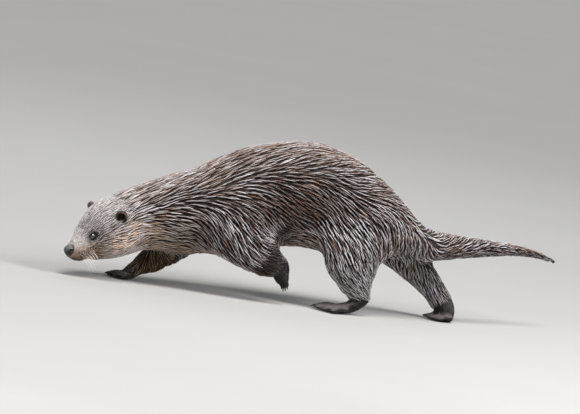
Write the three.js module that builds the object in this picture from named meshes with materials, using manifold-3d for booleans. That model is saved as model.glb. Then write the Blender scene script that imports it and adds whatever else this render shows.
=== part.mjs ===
// A Eurasian otter, life size, walking to the left (-X) with its head low and its back arched.
// Millimetres, +Z up, the floor at z = 0. The animal's left side faces -Y.
//
// The flesh is one smooth field: a swept spine (head, neck, trunk, tail), four swept legs and a few
// rounded muscles, blended together. Each named part is that field, meshed at a cell size of its own
// and parted from its neighbours by thin flat cuts. Toes, claws, ears, eyes and nose are made apart.

import * as THREE from 'three';
import { mergeVertices } from 'three/addons/utils/BufferGeometryUtils.js';
import Module from 'manifold-3d';

const wasm = await Module();
wasm.setup();

// ---------------------------------------------------------------- driving dimensions

const GAP = 0.3; // left between two parts that meet
const EYE_RADIUS = 5.3;
const NOSE_TIP = new THREE.Vector3(-396, -40, 33.4);
const HEAD_PITCH = THREE.MathUtils.degToRad(35.7); // nose down
const HEAD_YAW = THREE.MathUtils.degToRad(17); // nose towards -Y

const CLEAR_AWAY = 60; // further from a sweep or muscle than this, a rough distance will do
const MUSCLE_REACH = 30; // the longest half axis of a rounded muscle, and a little more

// The size of the facets on each stretch.
const CELL = { head: 9.2, neck: 22, trunk: 26, tail: 15, leg: 16, foot: 10 };

const COLOUR = {
  coat: 0x4e4139,
  throat: 0x6b5240,
  foot: 0x2c2522,
  claw: 0x3a332e,
  nose: 0x35363a,
  eye: 0x120e0c,
  ear: 0x33261f,
};

const UP = new THREE.Vector3(0, 0, 1);
const ACROSS = new THREE.Vector3(0, -1, 0);

// ---------------------------------------------------------------- the head's own axes

const FORWARD = new THREE.Vector3(
  -Math.cos(HEAD_PITCH) * Math.cos(HEAD_YAW),
  -Math.cos(HEAD_PITCH) * Math.sin(HEAD_YAW),
  -Math.sin(HEAD_PITCH),
);
const LEFT = new THREE.Vector3(Math.sin(HEAD_YAW), -Math.cos(HEAD_YAW), 0);
const CROWN = new THREE.Vector3().crossVectors(LEFT, FORWARD).negate();
if (CROWN.z < 0) CROWN.negate();

// A point of the head: how far behind the nose tip, how high above it, how far to the left.
function headPoint(back, rise, left = 0) {
  return NOSE_TIP.clone()
    .addScaledVector(FORWARD, -back)
    .addScaledVector(CROWN, rise)
    .addScaledVector(LEFT, left);
}

// ---------------------------------------------------------------- stations of the sweeps

// A station is a centre, the reach above and below it, and the reach to each side.
function station(at, up, down, side) {
  return { at, up, down, side };
}

function body(x, y, z, up, down, side) {
  return station(new THREE.Vector3(x, y, z), up, down, side);
}

function skull(back, rise, up, down, side) {
  return station(headPoint(back, rise), up, down, side);
}

function limb(x, y, z, front, rear, side) {
  return station(new THREE.Vector3(x, y, z), front, rear, side);
}

const SPINE = [
  skull(8, -4, 8.5, 9, 12), // nose
  skull(16, -6, 14.5, 16, 17.5), // lips
  skull(27, -6, 20.5, 23.5, 20.5), // whisker pads
  skull(40, -6, 28, 33, 24.5), // eyes
  skull(57, -5, 36.5, 41, 33), // brow and cheeks
  skull(78, -6, 42.5, 46, 44.5), // ears
  skull(98, -9, 45, 49, 46.5), // back of the skull
  skull(122, -15, 48, 50, 48), // nape
  body(-255, -4, 106, 51, 57, 51), // neck
  body(-215, -1, 117, 58, 69, 56), // base of the neck
  body(-172, 0, 127, 66, 70, 60), // shoulders
  body(-125, 0, 142, 77, 77, 63), // chest
  body(-80, 0, 156, 81, 80, 65),
  body(-35, 0, 164, 83, 78, 67), // ribs
  body(15, 0, 162, 80, 79, 66), // loin
  body(60, 0, 151, 69, 68, 64), // hips
  body(105, 0, 137, 54, 51, 57), // rump
  body(148, 1, 122, 37, 32, 43),
  body(186, 5, 116, 25, 25, 31), // root of the tail
  body(246, 28, 117, 19, 20, 23),
  body(285, 48, 118, 15, 16, 18.5),
  body(326, 72, 118, 12, 12.5, 14.5),
  body(367, 98, 117, 9, 9, 11),
  body(411, 128, 111, 6.5, 6.5, 8),
  body(452, 159, 101, 3, 3, 4), // tip of the tail
];

// Fore left: at the end of its stride, lifted, with the paw hanging.
const FORE_LEFT = [
  limb(-165, -34, 126, 46, 44, 34),
  limb(-132, -46, 92, 40, 40, 28),
  limb(-104, -53, 74, 31, 33, 23),
  limb(-78, -53, 62, 24, 26, 18),
  limb(-63, -50, 54, 20, 15.5, 14),
  limb(-58, -48, 46, 16.5, 11.5, 14),
  limb(-54, -48, 38, 12.5, 9, 14),
];
// Fore right: stretched forward, its paw flat on the floor.
const FORE_RIGHT = [
  limb(-165, 34, 112, 44, 44, 34),
  limb(-190, 42, 70, 30, 30, 26),
  limb(-216, 42, 45, 25, 23, 21),
  limb(-240, 40, 27, 20, 19, 18),
  limb(-257, 36, 15, 11, 11, 15),
  limb(-268, 33, 8, 8, 8, 17),
  limb(-276, 32, 6, 6, 6, 18),
];
// Hind left: under the body and bearing weight, the heel a little raised.
const HIND_LEFT = [
  limb(78, -30, 142, 54, 52, 36),
  limb(56, -46, 106, 54, 50, 32),
  limb(53, -54, 74, 44, 43, 27),
  limb(65, -54, 49, 31, 31, 20),
  limb(75, -52, 30, 16, 17, 14),
  limb(68, -50, 16, 10, 11, 14),
  limb(52, -48, 9, 8, 8, 18),
  limb(42, -47, 7.5, 6.5, 7, 20),
];
// Hind right: stretched back at the end of its push, up on its toes.
const HIND_RIGHT = [
  limb(112, 30, 128, 48, 40, 34),
  limb(158, 42, 100, 34, 34, 28),
  limb(194, 48, 72, 25, 25, 22),
  limb(220, 50, 50, 20, 20, 18),
  limb(238, 49, 31, 18, 17, 16),
  limb(248, 47, 16, 15, 14, 18),
  limb(249, 46, 8, 12, 9, 20),
];

const TAIL_START = SPINE.length - 8; // the first station of the tail's plain taper

// ---------------------------------------------------------------- the field

// Cubic blend through four equally spaced values.
function through(a, b, c, d, t) {
  const linear = (c - a) / 2;
  const square = a - 2.5 * b + 2 * c - d / 2;
  const cube = (d - a) / 2 + 1.5 * (b - c);
  return b + t * (linear + t * (square + t * cube));
}

function radiusAt(stations, key, u) {
  const last = stations.length - 1;
  const i = Math.min(Math.floor(u * last), last - 1);
  const value = (n) => stations[Math.min(Math.max(n, 0), last)][key];
  return through(value(i - 1), value(i), value(i + 1), value(i + 2), u * last - i);
}

// Points along the smooth line through the stations, each with its axes and its reaches.
// `across` gives the direction of the side reach; without it the side lies level.
function spread(stations, across, steps) {
  const curve = new THREE.CatmullRomCurve3(stations.map((s) => s.at));
  const count = steps ?? stations.length * 4;
  return Array.from({ length: count + 1 }, (_, i) => {
    const u = i / count;
    const along = curve.getTangent(u);
    const level = across ?? new THREE.Vector3().crossVectors(along, UP);
    const side = level.clone().addScaledVector(along, -level.dot(along)).normalize();
    const up = new THREE.Vector3().crossVectors(side, along);
    return {
      at: curve.getPoint(u),
      along,
      side,
      up,
      upReach: radiusAt(stations, 'up', u),
      downReach: radiusAt(stations, 'down', u),
      sideReach: radiusAt(stations, 'side', u),
    };
  });
}

// Distance to an ellipsoid whose half axes are a, b and c, from a point in its own axes.
function ellipsoidDistance(x, y, z, a, b, c) {
  const scaled = Math.hypot(x / a, y / b, z / c);
  const slope = Math.hypot(x / (a * a), y / (b * b), z / (c * c));
  return slope > 1e-6 ? (scaled * (scaled - 1)) / slope : -Math.min(a, b, c);
}

// The distance from a point to the swept body of a spread line.
function sweep(points, blend) {
  const box = new THREE.Box3().setFromPoints(points.map((p) => p.at));
  const reach = Math.max(...points.map((p) => Math.max(p.upReach, p.downReach, p.sideReach)));
  box.expandByScalar(reach);
  const offset = new THREE.Vector3();
  const centre = new THREE.Vector3();
  const axis = new THREE.Vector3();
  const distance = (p) => {
    const far = box.distanceToPoint(p);
    if (far > CLEAR_AWAY) return far;
    let best = 0;
    let least = Infinity;
    for (let i = 0; i < points.length; i++) {
      const d = p.distanceToSquared(points[i].at);
      if (d < least) {
        least = d;
        best = i;
      }
    }
    const before = Math.max(best - 1, 0);
    const after = Math.min(best + 1, points.length - 1);
    const here = points[best];
    const way = offset.subVectors(p, here.at).dot(here.along);
    const other = points[way > 0 ? after : before];
    const length = Math.max(here.at.distanceTo(other.at), 1e-9);
    const t = other === here ? 0 : Math.min(Math.abs(way) / length, 1);
    const mix = (key) => here[key] + (other[key] - here[key]) * t;
    offset.subVectors(p, centre.lerpVectors(here.at, other.at, t));
    const dot = (key) => offset.dot(axis.lerpVectors(here[key], other[key], t));
    const rise = dot('up');
    const sideReach = mix('sideReach');
    const reachUp = rise > 0 ? mix('upReach') : mix('downReach');
    const beyond = other === here ? Math.abs(way) : 0;
    return ellipsoidDistance(dot('side'), rise, beyond, sideReach, reachUp, Math.min(sideReach, reachUp));
  };
  return { distance, blend };
}

// A rounded muscle of the head, in the head's own axes.
function swelling(back, rise, left, halfLong, halfHigh, halfWide, blend) {
  const centre = headPoint(back, rise, left);
  const offset = new THREE.Vector3();
  const distance = (p) => {
    offset.subVectors(p, centre);
    const far = offset.length();
    if (far > CLEAR_AWAY + MUSCLE_REACH) return far - MUSCLE_REACH;
    return ellipsoidDistance(
      offset.dot(FORWARD),
      offset.dot(CROWN),
      offset.dot(LEFT),
      halfLong,
      halfHigh,
      halfWide,
    );
  };
  return { distance, blend };
}

function bothSides(make) {
  return [make(1), make(-1)];
}

const FLESH = [
  sweep(spread(SPINE), 0),
  sweep(spread(FORE_LEFT, ACROSS), 26),
  sweep(spread(FORE_RIGHT, ACROSS), 22),
  sweep(spread(HIND_LEFT, ACROSS), 26),
  sweep(spread(HIND_RIGHT, ACROSS), 22),
  ...bothSides((s) => swelling(19, -9, 10 * s, 12, 9.5, 11.5, 6)), // whisker pads
  ...bothSides((s) => swelling(46, 11.5, 14.5 * s, 15, 5.5, 6, 7)), // brows
  ...bothSides((s) => swelling(68, -18, 27 * s, 24, 22, 18, 14)), // jaw muscles
  swelling(20, -18, 0, 13, 6.5, 10, 6), // chin
];

function flesh(p) {
  let d = Infinity;
  for (const { distance, blend } of FLESH) {
    const e = distance(p);
    const h = Math.max(blend - Math.abs(d - e), 0) / Math.max(blend, 1e-9);
    d = Math.min(d, e) - (d === Infinity ? 0 : (h * h * blend) / 4);
  }
  return d;
}

// ---------------------------------------------------------------- meshing the field

const STEPS = [
  [1, 0, 0],
  [0, 1, 0],
  [0, 0, 1],
];

// A grid square that is in, out, in, out at its corners would join two folds of the surface along
// one edge, so the outer corner that is nearest the surface is taken in.
function clearCheckers(value, count, index) {
  for (let changed = true; changed; ) {
    changed = false;
    for (let k = 0; k < count[2] - 1; k++) {
      for (let j = 0; j < count[1] - 1; j++) {
        for (let i = 0; i < count[0] - 1; i++) {
          for (const axis of [0, 1, 2]) {
            const [s, t] = [STEPS[(axis + 1) % 3], STEPS[(axis + 2) % 3]];
            const square = [
              index(i, j, k),
              index(i + s[0], j + s[1], k + s[2]),
              index(i + s[0] + t[0], j + s[1] + t[1], k + s[2] + t[2]),
              index(i + t[0], j + t[1], k + t[2]),
            ];
            const [a, b, c, d] = square.map((n) => value[n] < 0);
            if (a !== c || b !== d || a === b) continue;
            const outside = square.filter((n) => value[n] >= 0);
            const nearest = value[outside[0]] < value[outside[1]] ? outside[0] : outside[1];
            value[nearest] = -1e-3;
            changed = true;
          }
        }
      }
    }
  }
}

// Surface nets: one vertex in each cell that the surface crosses, moved onto the surface, and one
// four-sided face round each grid edge that it crosses.
function meshField(low, high, cell) {
  const count = [0, 1, 2].map((i) => Math.ceil((high[i] - low[i]) / cell) + 1);
  const index = (i, j, k) => (k * count[1] + j) * count[0] + i;
  const point = new THREE.Vector3();
  const at = (i, j, k) => point.set(low[0] + i * cell, low[1] + j * cell, low[2] + k * cell);
  const value = new Float64Array(count[0] * count[1] * count[2]);
  for (let k = 0; k < count[2]; k++) {
    for (let j = 0; j < count[1]; j++) {
      for (let i = 0; i < count[0]; i++) {
        const edge = [i, j, k].some((n, axis) => n === 0 || n === count[axis] - 1);
        const v = flesh(at(i, j, k));
        value[index(i, j, k)] = edge ? Math.max(v, cell / 2) : v;
      }
    }
  }
  clearCheckers(value, count, index);
  const positions = [];
  const vertexOf = new Map();
  const corners = [0, 1, 2, 3, 4, 5, 6, 7].map((n) => [n & 1, (n >> 1) & 1, (n >> 2) & 1]);
  for (let k = 0; k < count[2] - 1; k++) {
    for (let j = 0; j < count[1] - 1; j++) {
      for (let i = 0; i < count[0] - 1; i++) {
        const v = corners.map(([a, b, c]) => value[index(i + a, j + b, k + c)]);
        const inside = v.filter((x) => x < 0).length;
        if (inside === 0 || inside === 8) continue;
        const sum = new THREE.Vector3();
        let hits = 0;
        corners.forEach((a, m) => {
          for (const bit of [1, 2, 4]) {
            const n = m | bit;
            if (m & bit || v[m] < 0 === v[n] < 0) continue;
            const t = v[m] / (v[m] - v[n]);
            const b = corners[n];
            sum.x += a[0] + (b[0] - a[0]) * t;
            sum.y += a[1] + (b[1] - a[1]) * t;
            sum.z += a[2] + (b[2] - a[2]) * t;
            hits++;
          }
        });
        sum.divideScalar(hits);
        const p = at(i + sum.x, j + sum.y, k + sum.z).clone();
        vertexOf.set(index(i, j, k), positions.length / 3);
        positions.push(...settle(p, cell).toArray());
      }
    }
  }
  const faces = [];
  for (let k = 0; k < count[2] - 1; k++) {
    for (let j = 0; j < count[1] - 1; j++) {
      for (let i = 0; i < count[0] - 1; i++) {
        const here = value[index(i, j, k)] < 0;
        STEPS.forEach((step, axis) => {
          const next = value[index(i + step[0], j + step[1], k + step[2])] < 0;
          if (here === next) return;
          const [s, t] = [STEPS[(axis + 1) % 3], STEPS[(axis + 2) % 3]];
          const cells = [
            [0, 0],
            [1, 0],
            [1, 1],
            [0, 1],
          ].map(([a, b]) => {
            const spot = [i, j, k].map((n, x) => n - s[x] * a - t[x] * b);
            return vertexOf.get(index(...spot));
          });
          if (!here) cells.reverse();
          faces.push(cells[0], cells[1], cells[2], cells[0], cells[2], cells[3]);
        });
      }
    }
  }
  const geometry = new THREE.BufferGeometry();
  geometry.setAttribute('position', new THREE.Float32BufferAttribute(positions, 3));
  geometry.setIndex(faces);
  return geometry;
}

// Moves a point onto the surface of the field, by less than half a cell.
function settle(p, cell) {
  const start = p.clone();
  const step = 0.5;
  for (let round = 0; round < 3; round++) {
    const d = flesh(p);
    const slope = new THREE.Vector3(
      flesh(p.clone().setX(p.x + step)) - flesh(p.clone().setX(p.x - step)),
      flesh(p.clone().setY(p.y + step)) - flesh(p.clone().setY(p.y - step)),
      flesh(p.clone().setZ(p.z + step)) - flesh(p.clone().setZ(p.z - step)),
    ).divideScalar(2 * step);
    p.addScaledVector(slope, -d / Math.max(slope.lengthSq(), 0.25));
    const moved = p.clone().sub(start);
    if (moved.length() > cell * 0.4) p.copy(start).addScaledVector(moved.normalize(), cell * 0.4);
  }
  return p;
}

// ---------------------------------------------------------------- solids

function solid(geometry) {
  geometry.deleteAttribute('normal');
  geometry.deleteAttribute('uv');
  const merged = mergeVertices(geometry, 1e-4);
  const mesh = {
    numProp: 3,
    vertProperties: new Float32Array(merged.attributes.position.array),
    triVerts: new Uint32Array(merged.index.array),
  };
  const made = new wasm.Manifold(new wasm.Mesh(mesh));
  if (made.volume() > 0) return made;
  mesh.triVerts.reverse(); // its faces pointed inwards
  return new wasm.Manifold(new wasm.Mesh(mesh));
}

function surface(manifold) {
  const mesh = manifold.getMesh();
  const geometry = new THREE.BufferGeometry();
  geometry.setAttribute('position', new THREE.BufferAttribute(mesh.vertProperties, 3));
  geometry.setIndex(new THREE.BufferAttribute(mesh.triVerts, 1));
  return geometry;
}

// The largest of the separate bodies in a solid.
function largest(manifold) {
  return manifold.decompose().reduce((a, b) => (a.volume() > b.volume() ? a : b));
}

function fleshSolid(low, high, cell) {
  return solid(meshField(low, high, cell));
}

// A block between two corners, grown by `grow` on every side and tilted about the across axis.
function block({ low, high, tilt = 0 }, grow = 0) {
  const size = high.map((h, i) => h - low[i] + 2 * grow);
  const geometry = new THREE.BoxGeometry(...size);
  geometry.rotateY(THREE.MathUtils.degToRad(tilt));
  geometry.translate(...high.map((h, i) => (h + low[i]) / 2));
  return solid(geometry);
}

// Everything on the far side of a plane, out to well past the animal.
function beyond(at, normal, offset = 0) {
  const size = 2400;
  const geometry = new THREE.BoxGeometry(size, size, size);
  geometry.translate(0, 0, size / 2 + offset);
  geometry.applyQuaternion(new THREE.Quaternion().setFromUnitVectors(UP, normal.clone().normalize()));
  geometry.translate(at.x, at.y, at.z);
  return solid(geometry);
}

// The two sides of a thin cut.
function part(manifold, at, normal) {
  const near = manifold.intersect(beyond(at, normal.clone().negate(), GAP / 2));
  const far = manifold.intersect(beyond(at, normal, GAP / 2));
  return [near, far];
}

function ellipsoid(centre, axes, reaches, grow = 0, around = 9, along = 6) {
  const geometry = new THREE.SphereGeometry(1, around, along);
  geometry.scale(...reaches.map((r) => r + grow));
  geometry.applyMatrix4(new THREE.Matrix4().makeBasis(...axes));
  geometry.translate(centre.x, centre.y, centre.z);
  return solid(geometry);
}

// A closed body along a line: rings of the given number of sides, closed flat at both ends.
function loft(stations, across, { sides = 8, steps = 8 } = {}) {
  const line = spread(stations, across, steps);
  const positions = [];
  for (const p of line) {
    for (let i = 0; i < sides; i++) {
      const angle = (i / sides) * 2 * Math.PI;
      const rise = Math.sin(angle);
      const v = p.at
        .clone()
        .addScaledVector(p.side, Math.cos(angle) * p.sideReach)
        .addScaledVector(p.up, rise * (rise > 0 ? p.upReach : p.downReach));
      positions.push(v.x, v.y, v.z);
    }
  }
  const rings = line.length;
  const faces = [];
  for (let r = 0; r < rings - 1; r++) {
    for (let i = 0; i < sides; i++) {
      const a = r * sides + i;
      const b = r * sides + ((i + 1) % sides);
      faces.push(a, a + sides, b, b, a + sides, b + sides);
    }
  }
  for (let i = 1; i < sides - 1; i++) {
    faces.push(0, i, i + 1);
    const base = (rings - 1) * sides;
    faces.push(base, base + i + 1, base + i);
  }
  const geometry = new THREE.BufferGeometry();
  geometry.setAttribute('position', new THREE.Float32BufferAttribute(positions, 3));
  geometry.setIndex(faces);
  return solid(geometry);
}

// ---------------------------------------------------------------- feet

// Toes fan out from the ball of the foot. `turn` is the heading in degrees from -X towards -Y,
// `drop` how far the toes point down, and `curl` how much the tips bend further.
const FEET = {
  fore_left: { ball: [-53, -48, 41], turn: 0, drop: 84, curl: 16, toe: 13, thick: 5.2, fan: 34, palm: 22 },
  fore_right: { ball: [-274, 32, 6], turn: 6, drop: 2, curl: 0, toe: 21, thick: 4.7, fan: 56, palm: 26 },
  hind_left: { ball: [43, -46, 7.5], turn: 6, drop: 2, curl: 0, toe: 34, thick: 5.2, fan: 46, palm: 32 },
  hind_right: { ball: [248, 45, 7], turn: -4, drop: 2, curl: 0, toe: 27, thick: 5.2, fan: 40, palm: 30 },
};
const TOE_SHARE = [0.76, 0.95, 1, 0.96, 0.8]; // length of each toe against the middle one
const CLAW = { length: 6, thick: 1.9 };

function footAxes({ turn, drop }) {
  const yaw = THREE.MathUtils.degToRad(turn);
  const fall = THREE.MathUtils.degToRad(drop);
  const level = new THREE.Vector3(-Math.cos(yaw), -Math.sin(yaw), 0);
  const side = new THREE.Vector3(Math.sin(yaw), -Math.cos(yaw), 0);
  const ahead = level.clone().multiplyScalar(Math.cos(fall)).addScaledVector(UP, -Math.sin(fall));
  const top = level.clone().multiplyScalar(Math.sin(fall)).addScaledVector(UP, Math.cos(fall));
  return { ahead, side, top };
}

// The centre line and claw of one toe.
function toe(foot, i) {
  const { ahead, side, top } = footAxes(foot);
  const swing = THREE.MathUtils.degToRad(((i - 2) / 4) * foot.fan);
  const way = ahead.clone().multiplyScalar(Math.cos(swing)).addScaledVector(side, Math.sin(swing));
  const root = new THREE.Vector3(...foot.ball).addScaledVector(side, ((i - 2) / 4) * foot.palm);
  root.addScaledVector(ahead, -6 - Math.abs(i - 2));
  const length = foot.toe * TOE_SHARE[i] + 6;
  const bend = (share) => length * share * share * Math.tan(THREE.MathUtils.degToRad(foot.curl));
  const at = (share, rise) =>
    root
      .clone()
      .addScaledVector(way, length * share)
      .addScaledVector(top, rise - bend(share));
  const t = foot.thick;
  const stations = [
    station(at(0, 0), t, t, t),
    station(at(0.38, t * 0.35), t * 0.95, t, t * 0.92),
    station(at(0.72, t * 0.05), t * 0.85, t * 0.9, t * 0.95),
    station(at(0.93, -t * 0.25), t * 0.72, t * 0.8, t * 0.85),
    station(at(1, -t * 0.3), t * 0.45, t * 0.5, t * 0.6),
  ];
  const point = way.clone().addScaledVector(top, -0.28).normalize();
  const clawLine = [0, 0.5, 1].map((share, n) => {
    const thick = CLAW.thick * [1, 0.8, 0.28][n];
    const middle = at(1, -t * 0.1).addScaledVector(way, GAP + 0.9);
    return station(middle.addScaledVector(point, CLAW.length * share), thick, thick, thick * 0.8);
  });
  return { stations, clawLine, side, web: at(0.74, -t * 0.1) };
}

// The web: a thin fan through the toes, with a shallow bay between each two.
function web(foot) {
  const { ahead, side, top } = footAxes(foot);
  const thickness = 3.2;
  const centre = new THREE.Vector3(...foot.ball);
  const flat = (p) => {
    const d = p.clone().sub(centre);
    return new THREE.Vector2(d.dot(ahead), d.dot(side));
  };
  const tips = TOE_SHARE.map((_, i) => flat(toe(foot, i).web));
  const shape = new THREE.Shape();
  shape.moveTo(-12, tips[0].y * 0.45);
  shape.lineTo(tips[0].x, tips[0].y);
  for (let i = 1; i < tips.length; i++) {
    const bay = tips[i - 1].clone().add(tips[i]).multiplyScalar(0.5 * 0.86);
    shape.lineTo(bay.x, bay.y);
    shape.lineTo(tips[i].x, tips[i].y);
  }
  shape.lineTo(-12, tips[4].y * 0.45);
  const geometry = new THREE.ExtrudeGeometry(shape, { depth: thickness, bevelEnabled: false });
  geometry.translate(0, 0, -thickness / 2 - foot.thick * 0.3);
  geometry.applyMatrix4(new THREE.Matrix4().makeBasis(ahead, side, top));
  geometry.translate(centre.x, centre.y, centre.z);
  return solid(geometry);
}

const FLOOR = beyond(new THREE.Vector3(), UP);

function footWithClaws(flesh, foot) {
  let made = flesh;
  const claws = [];
  const toes = TOE_SHARE.map((_, i) => toe(foot, i));
  for (const { stations, clawLine, side } of toes) {
    made = made.add(loft(stations, side, { sides: 6, steps: 3 }));
    claws.push(loft(clawLine, side, { sides: 4, steps: 2 }));
  }
  made = made.add(web(foot));
  return { made: largest(made.intersect(FLOOR)), claws };
}

// ---------------------------------------------------------------- the parts

const parts = {};

// Where the long body is parted.
const NAPE_CUT = { at: headPoint(110, 0), normal: FORWARD.clone().negate() };
const NECK_CUT = { at: new THREE.Vector3(-214, 0, 117), normal: new THREE.Vector3(1, 0, 0.12) };
const WAIST_CUT = { at: new THREE.Vector3(-20, 0, 160), normal: new THREE.Vector3(1, 0, 0) };
const TAIL_CUTS = [
  { at: new THREE.Vector3(182, 5, 116), normal: new THREE.Vector3(1, 0.25, 0) },
  { at: new THREE.Vector3(275, 43, 118), normal: new THREE.Vector3(1, 0.55, 0) },
  { at: new THREE.Vector3(366, 97, 117), normal: new THREE.Vector3(1, 0.65, -0.1) },
];

// The room each leg takes out of the trunk and neck, as blocks.
const LEG_ROOM = {
  fore_left: [
    { low: [-196, -130, -20], high: [-60, -24, 136] },
    { low: [-111, -130, -20], high: [-10, -24, 78] },
  ],
  fore_right: [
    { low: [-212, 24, -20], high: [-140, 130, 120] },
    { low: [-339, 12, -35], high: [-119, 130, 55], tilt: -35.3 },
  ],
  hind_left: [{ low: [-16, -130, -20], high: [114, -22, 148] }],
  hind_right: [
    { low: [82, 22, -20], high: [190, 130, 136] },
    { low: [150, 14, -20], high: [320, 130, 97] },
  ],
};
// Where each leg is parted at the elbow or knee and at the wrist or ankle: a point and a normal
// that points down the leg.
const LEG_CUTS = {
  fore_left: [
    { at: new THREE.Vector3(-104, -53, 74), normal: new THREE.Vector3(0.85, 0, -0.5) },
    { at: new THREE.Vector3(-70, -51, 57), normal: new THREE.Vector3(0.85, 0, -0.5) },
  ],
  fore_right: [
    { at: new THREE.Vector3(-207, 42, 52), normal: new THREE.Vector3(-0.75, 0, -0.65) },
    { at: new THREE.Vector3(-260, 38, 16), normal: new THREE.Vector3(-0.9, 0, -0.45) },
  ],
  hind_left: [
    { at: new THREE.Vector3(54, -54, 78), normal: new THREE.Vector3(0.15, 0, -1) },
    { at: new THREE.Vector3(75, -52, 30), normal: new THREE.Vector3(0.1, 0, -1) },
  ],
  hind_right: [
    { at: new THREE.Vector3(182, 47, 82), normal: new THREE.Vector3(0.75, 0, -0.65) },
    { at: new THREE.Vector3(236, 49, 34), normal: new THREE.Vector3(0.6, 0, -0.8) },
  ],
};

function room(leg, grow = 0) {
  return LEG_ROOM[leg].map((each) => block(each, grow)).reduce((a, b) => a.add(b));
}

function add(name, manifold, colour, roughness = 0.6) {
  parts[name] = { manifold: largest(manifold), colour, roughness };
}

function makeLongBody() {
  const head = fleshSolid([-420, -110, -10], [-270, 60, 170], CELL.head);
  parts.head = { manifold: largest(part(head, NAPE_CUT.at, NAPE_CUT.normal)[0]), colour: COLOUR.coat };
  const neck = fleshSolid([-370, -100, 20], [-150, 90, 230], CELL.neck);
  const neckBehindHead = part(neck, NAPE_CUT.at, NAPE_CUT.normal)[1];
  const neckPart = part(neckBehindHead, NECK_CUT.at, NECK_CUT.normal)[0];
  add('neck', neckPart.subtract(room('fore_right', GAP / 2)), COLOUR.throat);
  let trunk = fleshSolid([-260, -110, 10], [240, 110, 280], CELL.trunk);
  trunk = part(trunk, NECK_CUT.at, NECK_CUT.normal)[1];
  trunk = part(trunk, TAIL_CUTS[0].at, TAIL_CUTS[0].normal)[0];
  for (const leg of Object.keys(LEG_ROOM)) trunk = trunk.subtract(room(leg, GAP / 2));
  const [chest, loin] = part(trunk, WAIST_CUT.at, WAIST_CUT.normal);
  add('chest', chest, COLOUR.coat);
  add('loin', loin, COLOUR.coat);
  let tail = fleshSolid([140, -60, 50], [330, 110, 180], CELL.tail);
  tail = part(tail, TAIL_CUTS[0].at, TAIL_CUTS[0].normal)[1].subtract(room('hind_right', GAP / 2));
  const [root] = part(largest(tail), TAIL_CUTS[1].at, TAIL_CUTS[1].normal);
  const taper = loft(SPINE.slice(TAIL_START), null, { sides: 11, steps: 18 });
  const rest = part(taper, TAIL_CUTS[1].at, TAIL_CUTS[1].normal)[1];
  const [middle, tip] = part(rest, TAIL_CUTS[2].at, TAIL_CUTS[2].normal);
  add('tail_root', root, COLOUR.coat);
  add('tail_middle', middle, COLOUR.coat);
  add('tail_tip', tip, COLOUR.coat);
}

function makeLeg(leg) {
  const names = leg.startsWith('fore') ? ['upper_arm', 'forearm', 'paw'] : ['thigh', 'shank', 'foot'];
  const space = room(leg, -GAP / 2);
  const { min, max } = space.boundingBox();
  const pad = (v, by) => v.map((n) => n + by);
  const limbSolid = largest(fleshSolid(pad(min, -20), pad(max, 20), CELL.leg).intersect(space));
  const [upper, below] = part(limbSolid, LEG_CUTS[leg][0].at, LEG_CUTS[leg][0].normal);
  const [lower] = part(below, LEG_CUTS[leg][1].at, LEG_CUTS[leg][1].normal);
  add(`${leg}_${names[0]}`, upper, COLOUR.coat);
  add(`${leg}_${names[1]}`, lower, COLOUR.coat);
  const ball = FEET[leg].ball;
  const fine = fleshSolid(
    [ball[0] - 50, ball[1] - 50, -20],
    [ball[0] + 60, ball[1] + 50, 75],
    CELL.foot,
  ).intersect(space);
  const stump = largest(part(fine, LEG_CUTS[leg][1].at, LEG_CUTS[leg][1].normal)[1]);
  const { made, claws } = footWithClaws(stump, FEET[leg]);
  add(`${leg}_${names[2]}`, made, COLOUR.foot, 0.5);
  claws.forEach((claw, i) => add(`${leg}_claw_${i + 1}`, claw, COLOUR.claw, 0.35));
}

// Each of these sits in a close socket in the head.
function makeFace() {
  const axes = [FORWARD, LEFT, CROWN];
  const fitted = [];
  const fit = (name, make, colour, roughness) => {
    fitted.push(make(GAP));
    add(name, make(0), colour, roughness);
  };
  fit('nose_pad', (g) => ellipsoid(headPoint(8, -0.5), axes, [8, 9.5, 8.5], g), COLOUR.nose, 0.3);
  for (const [side, s] of [['left', 1], ['right', -1]]) {
    const ball = headPoint(42.8, 7.8, 19.5 * s);
    fit(`eye_${side}`, (g) => ellipsoid(ball, axes, [1, 1, 1].map(() => EYE_RADIUS), g), COLOUR.eye, 0.1);
    fit(`ear_${side}`, (g) => ear(s, g), COLOUR.ear, 0.7);
  }
  for (const socket of fitted) parts.head.manifold = parts.head.manifold.subtract(socket);
  parts.head.manifold = largest(parts.head.manifold);
}

// A small round cup that opens forwards and outwards.
function ear(s, grow) {
  const outward = LEFT.clone().multiplyScalar(s);
  const tip = CROWN.clone().multiplyScalar(0.8).addScaledVector(outward, 0.6).normalize();
  const open = FORWARD.clone().multiplyScalar(0.75).addScaledVector(outward, 0.65);
  open.addScaledVector(tip, -open.dot(tip)).normalize();
  const wide = new THREE.Vector3().crossVectors(tip, open);
  const axes = [open, wide, tip];
  const centre = headPoint(90, 17, 39.5 * s);
  const cup = ellipsoid(centre, axes, [5.5, 8.5, 10.5], grow, 8, 5);
  if (grow > 0) return cup;
  const hollow = centre.clone().addScaledVector(open, 3.6).addScaledVector(tip, 2);
  return cup.subtract(ellipsoid(hollow, axes, [5.6, 6.4, 7.6], 0, 8, 4));
}

makeLongBody();
Object.keys(FEET).forEach(makeLeg);
makeFace();

// ---------------------------------------------------------------- the model

const otter = new THREE.Group();
for (const [name, { manifold, colour, roughness = 0.6 }] of Object.entries(parts)) {
  const material = new THREE.MeshStandardMaterial({ color: colour, roughness, metalness: 0 });
  const mesh = new THREE.Mesh(surface(manifold), material);
  mesh.name = name;
  otter.add(mesh);
}

// The origin is on the floor, under the middle of the animal's box.
const box = new THREE.Box3().setFromObject(otter);
const middle = box.getCenter(new THREE.Vector3());
otter.position.set(-middle.x, -middle.y, -box.min.z);

const model = new THREE.Group();
model.add(otter);

export default model;
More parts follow.
